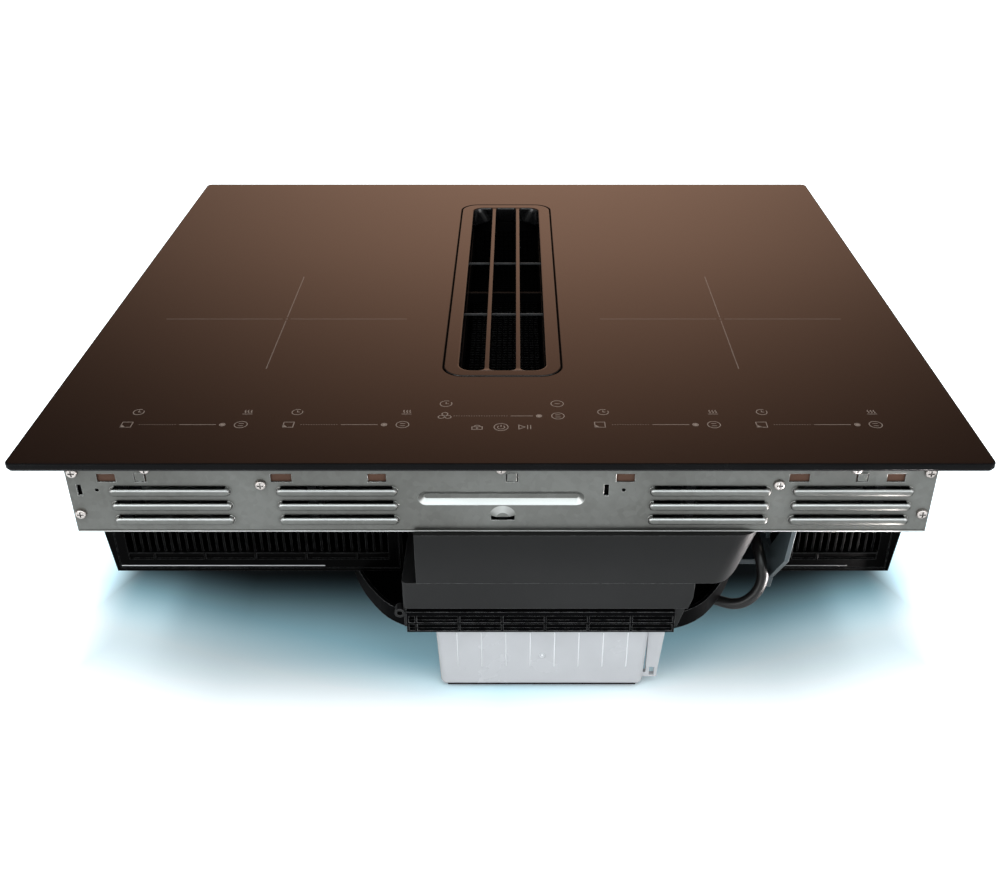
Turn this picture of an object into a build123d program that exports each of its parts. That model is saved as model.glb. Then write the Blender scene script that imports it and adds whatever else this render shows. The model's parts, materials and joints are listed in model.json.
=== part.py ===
"""Downdraft induction cooktop, 60 cm class.

Frame: X to the right, the controls at the front towards -Y, +Z up. The origin is under the
middle of the glass, on the surface that the appliance is set down on. Sizes are in mm.
"""
from build123d import *
import os
from math import cos, pi, radians, sin, tan

os.makedirs("parts", exist_ok=True)

# ---------------------------------------------------------------- driving dimensions
# Heights of the layers, counted up from the set-down surface
UNDER_H = 56.0           # underside of the dish
LOWER_H = 43.0           # dish and lower fan housing together
UPPER_H = 39.0           # upper fan housing
CASE_H = 67.2            # steel case
SEAL_BED_T = 0.8         # seal between the case's edge and the glass
GLASS_T = 4.0

# Glass plate and its seal
GLASS_W = 590.0
GLASS_D = 520.0
GLASS_CORNER_R = 5.0
GLASS_BEVEL = 1.0
SEAL_INSET = 1.0         # seal edge behind the glass edge
SEAL_T = 1.2             # its thicker rim, which lies on the worktop
SEAL_LAP = 7.0           # how far the seal reaches over the case's edge
SEAL_STEP = 8.0          # from the case out to the thicker rim

# Vent grille, flush in the glass
VENT_W = 80.0
VENT_R = 14.0
VENT_SETBACK = 113.0     # front end of the grille, from the glass's front edge
VENT_REAR = 62.0         # its rear end, from the glass's rear edge
VENT_GAP = 1.25          # groove between the grille and the glass
VENT_RIM = 10.0          # flat rim beside the opening
VENT_RIM_END = 8.5       # and at its ends
OPEN_R = 9.0
SKIRT_T = 1.6
SKIRT_H = 13.0
BAR_W = 3.2
BAR_X = 10.8             # middle of a bar, from the middle of the vent
BAR_H = 11.5
RIB_T = 1.6
RIB_H = 2.0
RIB_PITCH = 104.0

# Intake well and the grease filter that stands in it
WELL_CLEAR = 0.6         # around the grille's skirt
WELL_T = 2.0
WELL_FLANGE = 22.0
WELL_FLANGE_T = 3.0
LEDGE_UP = 10.0          # underside of the ledge above the case floor
LEDGE_T = 2.0
LEDGE_W = 4.0
BASKET_CLEAR = 0.8
BASKET_H = 46.0
BASKET_T = 2.0
BASKET_RING_H = 6.0
BASKET_WINDOWS = 6
MESH_T = 1.0
HANDLE_W = 3.0
HANDLE_H = 8.0

# Steel case
CASE_SIDE = 20.0         # glass edge beyond the case, at each side
CASE_SETBACK = 33.0      # and at the front and the back
SHEET_T = 1.0
RETURN_W = 12.0          # folded edges of the sheets
HOLE_CLEAR = 0.5         # around a piece that passes through the sheet
SIDE_SLOTS = 9
SIDE_SLOT_PITCH = 40.0
SIDE_SLOT_L = 28.0
SIDE_SLOT_H = 3.0
SIDE_SLOT_UP = 30.0
FLOOR_SLOTS = 7          # under each cooling fan
FLOOR_SLOT_PITCH = 8.0
FLOOR_SLOT_W = 4.0
FLOOR_SLOT_EDGE = 3.0    # from a slot's end to the rotor's rim

# Front panel: places are from the panel's middle and down from its top edge
LOUVRE_XS = (-210.5, -104.5, 132.8, 223.5)
LOUVRE_L = 77.0
LOUVRE_H = 6.0
LOUVRE_OUT = 3.4
LOUVRE_DROP = 40.6       # middle of the highest row, under the glass's upper face
LOUVRE_PITCH = 11.0
LOUVRE_ROWS = 3
LOUVRE_SLOT = 1.8
LOUVRE_EDGE_R = 2.4      # rounding of a hood's rim
LOUVRE_SHEET = 1.2       # hood's sheet over its open edge
CHANNEL_L = 106.5
CHANNEL_H = 10.5
CHANNEL_DEPTH = 2.8
CHANNEL_SLOPE = 52.0      # degrees that its walls lean outwards
CHANNEL_TOP = 41.0
LANCE_W = 17.5
LANCE_X = 0.8
LANCE_TOP = 52.0
LANCE_OUT = 2.0
LANCE_WALL = 1.0
LANCE_CROWN = 4.6        # radius of its flat front
LANCE_RISE = 1.5         # its lower edge above its centre
LANCE_SLIT = 3.9         # open slit under it
WINDOW_H = 6.0
WINDOW_TOP = 27.8
WINDOWS = ((-249.5, 11.8), (-139.0, 13.3), (-78.5, 11.5), (78.6, 11.6), (188.4, 12.8), (249.4, 11.5))
TAB_XS = (-228.0, 6.8, 228.0)
TAB_W = 7.5
TAB_GAP = 0.8            # slit round a tab's tongue
TAB_OUT = 0.6
SLOT_XS = (-268.0, 66.8)
SLOT_W = 3.0
SLOT_H = 8.5
PINHOLE_R = 1.3
PINHOLE_DX = 11.0        # a pinhole stands this far inboard of each slot
SLOT_TOP = 35.2
END_SCREWS = ((4.8, 21.9), (4.6, 53.1))        # from each end of the panel, and its drop
PANEL_SCREWS = ((-152.4, 30.9), (176.0, 30.9), (-224.0, 19.0), (0.0, 19.0), (223.5, 19.0))

# Screws
SCREW_HEAD_R = 3.5
SCREW_HEAD_H = 2.2
SCREW_R = 1.7
SCREW_L = 6.0
SCREW_HOLE_CLEAR = 0.1
RECESS_W = 0.9
RECESS_DEPTH = 1.2
RECESS_REACH = 2.1       # half length of the cross
HEAD_EDGE_R = 1.54

# Springs that centre the case in a worktop cut-out
SPRING_W = 14.0
SPRING_H = 40.0
SPRING_T = 0.8
SPRING_OUT = 3.6
SPRING_UP = 12.0         # lower end above the case floor
SPRING_SEAT = 6.0        # flat stretch that is riveted to the case
SPRING_CREST = 24.0      # height of the bow's crest over the lower end
SPRING_SETBACKS = (70.0, 420.0)

# Induction coils, one near each corner
COIL_X = 162.0
COIL_W = 180.0
COIL_EYE = 44.0
COIL_T = 5.0
CARRIER_T = 5.5
CARRIER_RIM = 6.0
CARRIER_GAP = 2.0        # between two carriers
CARRIER_OVERHANG = 4.0   # beyond the tray's ends
CARRIER_EYE_R = 9.0
CARRIER_SPOKES = 8       # grooves for the ferrite bars
SPOKE_IN = 28.0
SPOKE_OUT = 74.0
SPOKE_W = 10.0
SPOKE_DEPTH = 2.0
COIL_TRAY_W = 200.0
TRAY_SETBACK = 116.0
TRAY_REAR = 13.0         # from the case's back wall
COIL_TRAY_T = 1.5
TRAY_WINDOWS = 4
TRAY_WINDOW_PITCH = 50.0
TRAY_WINDOW_W = 34.0
TRAY_WINDOW_LOW = 12.0   # sheet left under a window
TRAY_WINDOW_HIGH = 10.0  # and over it
COIL_STACK_DROP = 2.0    # insulation sheet under the glass
MICA_T = 1.0

# Power electronics on the case floor
STANDOFF_H = 6.0
STANDOFF_R = 3.5
BOARD_W = 120.0
BOARD_L = 230.0
BOARD_T = 1.6
BOARD_X = 116.0
BOARD_REAR = 42.0        # from the case's back wall
POST_INSET = 6.0         # from a board's edge to the middle of a post
CAN_ROWS = 3             # film capacitors, each with a can beside it
CAN_PITCH = 28.0
CAN_W = 26.0
CAN_L = 23.0
CAN_H = 24.0
CAN_R = 10.0
CAN_DX = -39.0
CAN_DY = -93.5           # first row, from the board's middle
CHOKE_R = 18.0
CHOKE_BORE_R = 9.0
CHOKE_H = 14.0
CHOKE_DX = 34.0
CHOKE_DY = -84.0
PLUG_W = 30.0
PLUG_L = 14.0
PLUG_H = 10.0
PLUG_DX = 33.0
PLUG_DY = 99.0
SINK_DY = 30.0
SINK_W = 60.0
SINK_L = 110.0
SINK_H = 30.0
SINK_FINS = 9
SINK_FIN_T = 2.0
SINK_BASE = 5.0
FAN_SIZE = 80.0
FAN_T = 22.0
FAN_WALL = 2.5
FAN_SIDE = 53.0          # from its middle to the case's side
FAN_REAR = 77.0          # from the case's back wall to a fan's axis
FAN_PIN_R = 2.0
FAN_CORNER_R = 6.0
FAN_SPOKES = 3
FAN_SPOKE_W = 5.0
FAN_HUB_T = 2.0          # plate that carries the pin, and the spokes
ROTOR_R = 36.0
ROTOR_HUB_R = 15.0
ROTOR_BLADES = 7
VANE_W = 15.0
VANE_T = 1.6
VANE_TILT = 35.0
ROTOR_CAP = 2.0          # closed end of the rotor's hub
RUN_CLEAR = 0.05         # a shaft in its bore
ROTOR_LIFT = 3.0         # under the rotor and under the mouth of its frame

# Touch board under the printed controls
TOUCH_SIDE = 25.0        # from the case's sides
TOUCH_L = 44.0
TOUCH_SETBACK = 62.0
TOUCH_T = 1.6
GUIDE_H = 3.0
GUIDE_XS = (-199.0, -98.0, 0.0, 98.0, 199.0)
GUIDE_W = 8.0
SLIDER_GUIDE_W = 60.0
SLIDER_GUIDE_D = 4.0
TOUCH_BED_T = 3.0
TOUCH_LEG = 6.0
TOUCH_FRONT_LEG = 4.0
TOUCH_LEGS = 5

# Mains terminals
TERMINAL_W = 84.0
TERMINAL_D = 40.0
TERMINAL_H = 34.0
TERMINAL_X = -200.0
TERMINAL_T = 2.0
TERMINAL_COVER_T = 2.0
POLES = 3                # screw terminals in the box
POLE_W = 16.0
POLE_D = 12.0
POLE_H = 16.0
INLET_R = 5.5
INLET_WALL = 3.0
INLET_OUT = 18.0
INLET_FLANGE_R = 12.0
INLET_FLANGE_T = 3.0
INLET_SEAT = 4.0         # how far the gland reaches into the box's wall

# Fan: one vertical axis
FAN_AXIS_X = 29.0
FAN_AXIS_SETBACK = 140.0
IMPELLER_R = 83.0
IMPELLER_EYE_R = 60.0
IMPELLER_BLADES = 11
BLADE_T = 2.0
BLADE_LEAN = 38.0        # degrees that a blade's tip trails its root
BLADE_BOW = 0.12         # of its chord
BLADE_ROOT = 3.0         # from the cup to a blade's root
CUP_R = 46.0
CUP_T = 2.5
PLATE_T = 2.0
MOTOR_R = 40.0
MOTOR_H = 20.0
MOTOR_EDGE_R = 2.0
MOTOR_BASE = 3.0         # closed floor under the shaft
SHAFT_R = 4.0
SHAFT_FOOT_GAP = 0.1
HUB_R = 11.0
SCROLL_R = 97.0
HOUSING_T = 2.5
THROAT_W = 70.0
THROAT_CLEAR = 0.3       # round the throat where the dish's rim lets it through
INLET_RING_R = 58.0
INLET_RING_T = 2.0
INLET_RING_FLANGE = 10.0
INLET_RING_H = 7.0
INLET_RING_CLEAR = 0.2
RUN_GAP = 3.0            # axial room round the impeller

# Upper fan housing
UPPER_LEFT = -57.0
UPPER_RIGHT = 170.0
UPPER_SETBACK = 28.0
UPPER_REAR = 17.0        # its back wall, from the case's back wall
UPPER_CORNER_R = 16.0
UPPER_BILGE_R = 18.0     # rounded lower right edge
UPPER_DRAFT = 14.0       # how much its right side leans in at the bottom
UPPER_LIP = 12.0         # lip along its front, which reaches under the case

# Lower fan housing: the block in front of the scroll
BLOCK_LEFT = -67.0
BLOCK_RIGHT = 128.5
BLOCK_RIGHT_LOW = 119.5
BLOCK_STEP = 12.0        # its right end is nearly upright down to here
BLOCK_STEP_X = 128.0
BLOCK_DEPTH = 60.0
BLOCK_CORNER_R = 4.0
BAND_GAP_H = 3.0         # groove above the ribbed band
BAND_CLEAR = 0.3         # behind the band
BOSS_R = 4.0
BOSS_SINK = 1.5          # how deep a boss merges into the scroll
BOSS_ANGLES = (100.0, 135.0, 205.0, 335.0)
EAR_R = 3.6
EAR_HOLE_R = 2.0
EAR_L = 7.0
EAR_UP = 15.0
EAR_SETBACK = 3.0        # behind the block's face
EAR_SINK = 1.0           # how deep it merges into the block's side
EAR_CLEAR = 0.3

# Dish under the scroll
DISH_R = 145.0
DISH_SETBACK = 31.0      # its flat front
DISH_CORNER_R = 50.0
DISH_RIM_H = 13.0
DISH_T = 2.5
BAND_LEFT = -58.7
BAND_CELLS = 6
BAND_PITCH = 29.3
BAND_END = 6.3           # narrow cell at its left end
BAND_H = 18.5            # its top above the dish's underside
BAND_D = 4.0             # it lies this deep in a recess of the block's face
BAND_WEB = 1.2           # its back wall
BAND_BAR = 3.6
BAND_RIB = 1.4
FOOT_R = 11.0
FOOT_X = 89.0            # from the fan axis
FOOT_SETBACK = 195.0
FOOT_CHAMFER = 1.5

# Rear duct housing and its outlet for a flat duct
DUCT_LEFT = -86.0
DUCT_RIGHT = 144.0
DUCT_GAP = 20.0          # between the dish and the duct
CROSS_GAP = 47.0         # between the cross duct and the terminal box
RISER_GAP = 2.5          # between the upper housing and the risers beside it
DUCT_RIM = 7.5           # flange round a duct's mouth
SPIGOT_W = 220.0
SPIGOT_H = 87.0
SPIGOT_T = 2.0
SPIGOT_R = 4.0
SPIGOT_L = 27.0
SPIGOT_FLANGE = 4.0
SPIGOT_FLANGE_T = 3.0

# Filter boxes and cassettes
FILTER_OVER = 1.0        # outer side, beyond the case's side
FILTER_LEFT_IN = -71.0
FILTER_RIGHT_IN = 195.5
FILTER_SETBACK = 80.0
FILTER_DROP = 68.4       # box height under the case
FILTER_T = 2.5
FILTER_FLARE = 3.5       # how far its outer side stands out at the top
FILTER_FLARE_H = 34.0    # height over which it leans out
CASSETTE_CLEAR = 0.6
CASSETTE_D = 100.0
CASSETTE_FRAME = 7.0
CASSETTE_LIP = 6.5
CASSETTE_WALL = 2.0
FIN_PITCH = 5.3
FIN_T = 1.5
FIN_D = 22.0             # how far back the fins' rear edges lie
FIN_SETBACK = 2.0
GROOVE_D = 1.5
GROOVE_EDGE = 0.8
TICK_PITCH = 36.0
TICK_W = 1.2
PAD_GAP = 0.4
PULL_W = 19.0
PULL_H = 6.0
PULL_T = 1.6
PULL_OUT = 4.0
PULL_IN = 4.5            # past the fins' front edges
PULL_STEP = 112.0
PULL_SHIFT = 6.0

# Water tank and its rails
TANK_W = 148.0
TANK_SETBACK = 33.5
TANK_D = 116.5
TANK_H = 52.5
TANK_T = 2.0
TANK_R = 5.0
TANK_DRAFT = 2.2         # how much each side leans in at the floor
TANK_FLOOR_GAP = 1.0
TANK_RIBS = 8
TANK_RIB_PITCH = 15.6
TANK_RIB_W = 1.2
TANK_RIB_D = 1.4         # how far a rib stands in from the front wall
TANK_RIB_UP = 14.0       # its foot above the tank's underside
TANK_FOOT_R = 4.0        # rounding round the floor
TANK_LIP_W = 4.6
TANK_LIP_T = 2.4
TANK_LIP_DOWN = 1.5
TANK_LIP_FRONT = 9.0     # the lip starts this far behind the front wall
RAIL_CLEAR = 0.3
RAIL_T = 2.2
RAIL_SETBACK = 48.0
RAIL_SIDE_CLEAR = 0.8    # between a rail's shelf and the tank's side
CLIP_W = 12.0
CLIP_FOOT_W = 6.0
CLIP_H = 47.0
CLIP_T = 3.5
CLIP_TOE = 4.0           # height of the straight stretch at its foot
CLIP_TOE_OUT = 2.0
CLIP_SLOT_W = 3.5
CLIP_SLOT_IN = 2.5
CLIP_SLOT_LOW = 1.6
CLIP_SLOT_H = 7.4

# Drain from the upper housing to the tank
DRAIN_X = -34.0
DRAIN_SETBACK = 46.0
DRAIN_R = 5.0
DRAIN_BORE_R = 3.5
DRAIN_LIP = 2.0
DRAIN_CLEAR = 0.1
DRAIN_OUT = 1.2

# Fan lead: a loop at the right, held by a grommet and by the motor's junction box
LEAD_R = 4.0
GROMMET_X = 179.5
GROMMET_SETBACK = 150.0
GROMMET_R = 8.0
GROMMET_NECK_R = 6.0
GROMMET_H = 6.0
# its bends, from the grommet: right, forwards, and down from the case
LEAD_BENDS = ((0.0, 0.0, 22.0), (-0.5, 23.0, 38.0), (0.0, 50.0, 44.0), (2.5, 74.0, 50.0), (7.5, 84.0, 74.0),
              (-9.5, 88.0, 91.0), (-31.5, 74.0, 92.5))
LEAD_END = 20.0          # straight stretch into the junction box
JUNCTION_X = 134.0
JUNCTION_W = 30.0
JUNCTION_D = 36.0
JUNCTION_H = 18.0
JUNCTION_SETBACK = 124.0
GLAND_R = 6.5
GLAND_L = 7.0
GLAND_DOWN = 9.5         # gland axis under the dish
GUSSET_X = 190.0
GUSSET_T = 3.0
GUSSET_FRONT = 36.0
GUSSET_BACK = 122.0
GUSSET_H = 82.0
# its front edge, behind GUSSET_FRONT and down from the case, and its window
GUSSET_EDGE = ((0.0, 0.0), (8.0, 33.0), (39.0, 70.0), (43.0, GUSSET_H))
GUSSET_WINDOW = ((20.0, 12.0), (50.0, 52.0), (62.0, 52.0), (62.0, 12.0))
GUSSET_FOOT = 16.0
GUSSET_FOOT_T = 4.0
GUSSET_LAP = 8.0         # how far the foot reaches towards the dish
GUSSET_FLANGE_W = 9.0
GUSSET_FLANGE_L = 40.0

# ---------------------------------------------------------------- places worked out
Z_DISH = UNDER_H
Z_SPLIT = Z_DISH + LOWER_H
Z_CASE = Z_SPLIT + UPPER_H
Z_RIM = Z_CASE + CASE_H
Z_GLASS = Z_RIM + SEAL_BED_T
Z_TOP = Z_GLASS + GLASS_T
Z_FLOOR = Z_CASE + SHEET_T

FRONT = -GLASS_D / 2


def back(setback):
    """Y of a place that lies this far behind the glass's front edge."""
    return FRONT + setback


CASE_W = GLASS_W - 2 * CASE_SIDE
FAN_X = CASE_W / 2 - FAN_SIDE
FILTER_OUT = CASE_W / 2 + FILTER_OVER
CASE_D = GLASS_D - 2 * CASE_SETBACK
PANEL_Y = -CASE_D / 2
REAR_Y = CASE_D / 2
VENT_L = GLASS_D - VENT_SETBACK - VENT_REAR
VENT_Y = back(VENT_SETBACK) + VENT_L / 2
OPEN_W = VENT_W - 2 * VENT_RIM
OPEN_L = VENT_L - 2 * VENT_RIM_END
WELL_W = OPEN_W + 2 * SKIRT_T + 2 * WELL_CLEAR
WELL_L = OPEN_L + 2 * SKIRT_T + 2 * WELL_CLEAR
WELL_R = OPEN_R + SKIRT_T + WELL_CLEAR
Z_LEDGE = Z_CASE + LEDGE_UP + LEDGE_T
BASKET_W = WELL_W - 2 * BASKET_CLEAR
BASKET_L = WELL_L - 2 * BASKET_CLEAR
BASKET_R = WELL_R - BASKET_CLEAR
FAN_AXIS_Y = back(FAN_AXIS_SETBACK)
Z_BOWL = Z_DISH + DISH_T
Z_CUP = Z_BOWL + RUN_GAP
Z_SHROUD = Z_SPLIT - HOUSING_T - RUN_GAP
Z_MOTOR = Z_BOWL + MOTOR_H
COIL_TRAY_L = REAR_Y - TRAY_REAR - back(TRAY_SETBACK)
TRAY_Y = back(TRAY_SETBACK) + COIL_TRAY_L / 2
CARRIER_L = (COIL_TRAY_L + 2 * CARRIER_OVERHANG - CARRIER_GAP) / 2
COIL_L = CARRIER_L - 2 * CARRIER_RIM
COIL_R = min(COIL_W, COIL_L) / 2 - 1
COIL_STEP = (CARRIER_L + CARRIER_GAP) / 2
BOARD_Y = REAR_Y - BOARD_REAR - BOARD_L / 2
FAN_Y = REAR_Y - FAN_REAR
TOUCH_W = CASE_W - 2 * TOUCH_SIDE
Z_MICA = Z_GLASS - COIL_STACK_DROP - MICA_T
Z_COIL = Z_MICA - COIL_T
Z_CARRIER = Z_COIL - CARRIER_T
Z_TRAY = Z_CARRIER - COIL_TRAY_T
Z_BOARD = Z_FLOOR + STANDOFF_H
Z_FILTER = Z_CASE - FILTER_DROP
BLOCK_Y = back(UPPER_SETBACK)
EAR_X = BLOCK_LEFT - EAR_R + EAR_SINK
EAR_Y = BLOCK_Y + EAR_SETBACK
Z_EAR = Z_DISH + EAR_UP
DUCT_Y = FAN_AXIS_Y + DISH_R + DUCT_GAP
DUCT_REAR = REAR_Y - UPPER_REAR
CROSS_REAR = REAR_Y - TERMINAL_D - CROSS_GAP
DUCT_X = (DUCT_LEFT + DUCT_RIGHT) / 2
TANK_X = FAN_AXIS_X - 1.4
TANK_Y = back(TANK_SETBACK)
Z_TANK = TANK_FLOOR_GAP
Z_TANK_TOP = Z_TANK + TANK_H
Z_LIP = Z_TANK_TOP - TANK_LIP_DOWN


# ---------------------------------------------------------------- shapes
def block(x0, x1, y0, y1, z0, z1):
    """Box between two corners."""
    return Pos((x0 + x1) / 2, (y0 + y1) / 2, (z0 + z1) / 2) * Box(x1 - x0, y1 - y0, z1 - z0)


def slab(x, y, width, length, radius, z0, z1):
    """Upright plate with rounded corners, centred at x, y."""
    return Pos(x, y, z0) * extrude(RectangleRounded(width, length, radius), z1 - z0)


def frame(x, y, outer, inner, z0, z1):
    """Slab with a hole: outer and inner are each (width, length, corner radius)."""
    return slab(x, y, *outer, z0, z1) - slab(x, y, *inner, z0 - 1, z1 + 1)


def rod(x, y, radius, z0, z1):
    """Upright cylinder."""
    return Pos(x, y, (z0 + z1) / 2) * Cylinder(radius, z1 - z0)


def tube(x, y, radius, bore, z0, z1):
    """Upright cylinder with a bore."""
    return rod(x, y, radius, z0, z1) - rod(x, y, bore, z0 - 1, z1 + 1)


def rod_y(x, z, radius, y0, y1):
    """Cylinder along Y."""
    return Pos(x, (y0 + y1) / 2, z) * Rot(90, 0, 0) * Cylinder(radius, y1 - y0)


def across(points, y0, y1):
    """Plate whose outline lies in X and Z, from y0 to y1."""
    face = Plane((0, y1, 0), x_dir=(1, 0, 0), z_dir=(0, -1, 0)) * make_face(Polyline(*points, close=True))
    return extrude(face, y1 - y0)


def upright_edges(shape, x, y):
    """Upright edges of the shape that stand at x, y."""
    return [e for e in shape.edges().filter_by(Axis.Z)
            if abs(e.center().X - x) < 0.1 and abs(e.center().Y - y) < 0.1]


def only(shape):
    """The shape as one solid."""
    solids = shape.solids()
    assert len(solids) == 1, len(solids)
    return solids[0]


def group(shapes):
    """Separate solids that share a node."""
    return Compound(children=[s for shape in shapes for s in shape.solids()])


def write(name, shape):
    """One file for each named piece."""
    shape.label = name
    export_step(shape, f"parts/{name}.step")


# ---------------------------------------------------------------- glass, seal and vent
def glass_top():
    plate = slab(0, 0, GLASS_W, GLASS_D, GLASS_CORNER_R, Z_GLASS, Z_TOP)
    plate = chamfer(plate.faces().sort_by(Axis.Z)[-1].outer_wire().edges(), GLASS_BEVEL)
    cut = slab(0, VENT_Y, VENT_W + 2 * VENT_GAP, VENT_L + 2 * VENT_GAP, VENT_R + VENT_GAP,
               Z_GLASS - 1, Z_TOP + 1)
    return only(plate - cut)


def glass_seal():
    outer = (GLASS_W - 2 * SEAL_INSET, GLASS_D - 2 * SEAL_INSET, GLASS_CORNER_R - SEAL_INSET)
    inner = (CASE_W - 2 * SEAL_LAP, CASE_D - 2 * SEAL_LAP, GLASS_CORNER_R)
    step = (CASE_W + 2 * SEAL_STEP, CASE_D + 2 * SEAL_STEP, GLASS_CORNER_R)
    return only(frame(0, 0, outer, inner, Z_RIM, Z_GLASS) + frame(0, 0, outer, step, Z_GLASS - SEAL_T, Z_RIM))


def vent_grille():
    opening = (OPEN_W, OPEN_L, OPEN_R)
    skirt = (OPEN_W + 2 * SKIRT_T, OPEN_L + 2 * SKIRT_T, OPEN_R + SKIRT_T)
    ring = slab(0, VENT_Y, VENT_W, VENT_L, VENT_R, Z_GLASS, Z_TOP)
    ring += slab(0, VENT_Y, *skirt, Z_TOP - SKIRT_H, Z_GLASS)
    ring -= slab(0, VENT_Y, *opening, Z_TOP - SKIRT_H - 1, Z_TOP + 1)
    reach = OPEN_L / 2 + SKIRT_T / 2
    for side in (-1, 1):
        x = side * BAR_X
        ring += block(x - BAR_W / 2, x + BAR_W / 2, VENT_Y - reach, VENT_Y + reach, Z_TOP - BAR_H, Z_TOP)
        y = VENT_Y + side * RIB_PITCH / 2
        wide = OPEN_W / 2 + SKIRT_T / 2
        ring += block(-wide, wide, y - RIB_T / 2, y + RIB_T / 2, Z_TOP - SKIRT_H, Z_TOP - SKIRT_H + RIB_H)
    return only(ring)


def intake_well():
    outer = (WELL_W + 2 * WELL_T, WELL_L + 2 * WELL_T, WELL_R + WELL_T)
    flange = (WELL_W + 2 * WELL_FLANGE, WELL_L + 2 * WELL_FLANGE, WELL_R + WELL_FLANGE)
    ledge = (WELL_W - 2 * LEDGE_W, WELL_L - 2 * LEDGE_W, WELL_R - LEDGE_W)
    well = slab(0, VENT_Y, *outer, Z_CASE, Z_GLASS)
    well += slab(0, VENT_Y, *flange, Z_GLASS - WELL_FLANGE_T, Z_GLASS)
    well -= slab(0, VENT_Y, WELL_W, WELL_L, WELL_R, Z_CASE - 1, Z_GLASS + 1)
    well += frame(0, VENT_Y, outer, ledge, Z_LEDGE - LEDGE_T, Z_LEDGE)
    return only(well)


def filter_frame():
    outer = (BASKET_W, BASKET_L, BASKET_R)
    inner = (BASKET_W - 2 * BASKET_T, BASKET_L - 2 * BASKET_T, BASKET_R - BASKET_T)
    top = Z_LEDGE + BASKET_H
    basket = frame(0, VENT_Y, outer, inner, Z_LEDGE, top)
    pitch = (BASKET_L - 2 * BASKET_R) / BASKET_WINDOWS
    for i in range(BASKET_WINDOWS):
        y = VENT_Y + (i - (BASKET_WINDOWS - 1) / 2) * pitch
        basket -= block(-BASKET_W, BASKET_W, y - pitch / 2 + BASKET_T, y + pitch / 2 - BASKET_T,
                        Z_LEDGE + BASKET_RING_H, top - BASKET_RING_H)
    wide = BASKET_W / 2 - BASKET_T / 2
    basket += block(-wide, wide, VENT_Y - HANDLE_W / 2, VENT_Y + HANDLE_W / 2, top - HANDLE_H, top)
    return only(basket)


def filter_mesh():
    outer = (BASKET_W - 2 * BASKET_T, BASKET_L - 2 * BASKET_T, BASKET_R - BASKET_T)
    inner = (outer[0] - 2 * MESH_T, outer[1] - 2 * MESH_T, outer[2] - MESH_T)
    top = Z_LEDGE + BASKET_H - HANDLE_H
    return only(slab(0, VENT_Y, *outer, Z_LEDGE, top) - slab(0, VENT_Y, *inner, Z_LEDGE + MESH_T, top + 1))


# ---------------------------------------------------------------- steel case
def screw_cut(x, z, y0, y1):
    """Clearance for a front screw's shank."""
    return rod_y(x, z, SCREW_R + SCREW_HOLE_CLEAR, y0, y1)


def panel_screw_places():
    """X and drop of every screw in the front panel."""
    ends = [(side * (CASE_W / 2 - inset), down) for inset, down in END_SCREWS for side in (-1, 1)]
    return ends + list(PANEL_SCREWS)


def key_slot(x, y0, y1):
    """Upright slot beside a pinhole."""
    middle = Z_RIM - SLOT_TOP
    return block(x - SLOT_W / 2, x + SLOT_W / 2, y0, y1, middle - SLOT_H / 2, middle + SLOT_H / 2)


def rotor_slots(x):
    """Ring of intake slots in the case floor under a cooling fan."""
    slots = []
    for i in range(FLOOR_SLOTS):
        y = (i - (FLOOR_SLOTS - 1) / 2) * FLOOR_SLOT_PITCH
        half = max(ROTOR_R ** 2 - y ** 2, 0) ** 0.5 - FLOOR_SLOT_EDGE
        if half > FLOOR_SLOT_W:
            slots.append(block(x - half, x + half, FAN_Y + y - FLOOR_SLOT_W / 2, FAN_Y + y + FLOOR_SLOT_W / 2,
                               Z_CASE - 1, Z_FLOOR + 1))
    return slots


def case_tray():
    w, front = CASE_W / 2, PANEL_Y + SHEET_T
    tray = block(-w, w, front, REAR_Y, Z_CASE, Z_RIM)
    tray -= block(-w + SHEET_T, w - SHEET_T, front - 1, REAR_Y - SHEET_T, Z_FLOOR, Z_RIM + 1)
    for side in (-1, 1):
        inner, outer = sorted((side * (w - RETURN_W), side * w))
        tray += block(inner, outer, front, REAR_Y, Z_RIM - SHEET_T, Z_RIM)
        tray += block(inner, outer, front, front + SHEET_T, Z_CASE, Z_RIM)
        wall = sorted((side * (w - 2 * SHEET_T), side * (w + 1)))
        for i in range(SIDE_SLOTS):
            y = (i - (SIDE_SLOTS - 1) / 2) * SIDE_SLOT_PITCH
            tray -= block(*wall, y - SIDE_SLOT_L / 2, y + SIDE_SLOT_L / 2,
                          Z_CASE + SIDE_SLOT_UP, Z_CASE + SIDE_SLOT_UP + SIDE_SLOT_H)
        for cut in rotor_slots(side * FAN_X):
            tray -= cut
    tray += block(-w, w, REAR_Y - RETURN_W, REAR_Y, Z_RIM - SHEET_T, Z_RIM)
    hole = HOLE_CLEAR + WELL_T
    tray -= slab(0, VENT_Y, WELL_W + 2 * hole, WELL_L + 2 * hole, WELL_R + hole, Z_CASE - 1, Z_FLOOR + 1)
    tray -= rod(GROMMET_X, back(GROMMET_SETBACK), GROMMET_NECK_R, Z_CASE - 1, Z_FLOOR + 1)
    for x in SLOT_XS:
        tray -= key_slot(x, front - 1, front + SHEET_T + 1)
    for x, down in panel_screw_places():
        tray -= screw_cut(x, Z_RIM - down, front - 1, front + SHEET_T + 1)
    return only(tray)


def louvre(x, z):
    """Pressed-out hood, closed below and open along its upper edge; z is its middle."""
    hood = Plane((x, PANEL_Y, z), x_dir=(1, 0, 0), z_dir=(0, -1, 0)) * extrude(
        SlotOverall(LOUVRE_L, LOUVRE_H), LOUVRE_OUT)
    return fillet(hood.faces().sort_by(Axis.Y)[0].edges(), min(LOUVRE_EDGE_R, 0.45 * LOUVRE_H))


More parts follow.
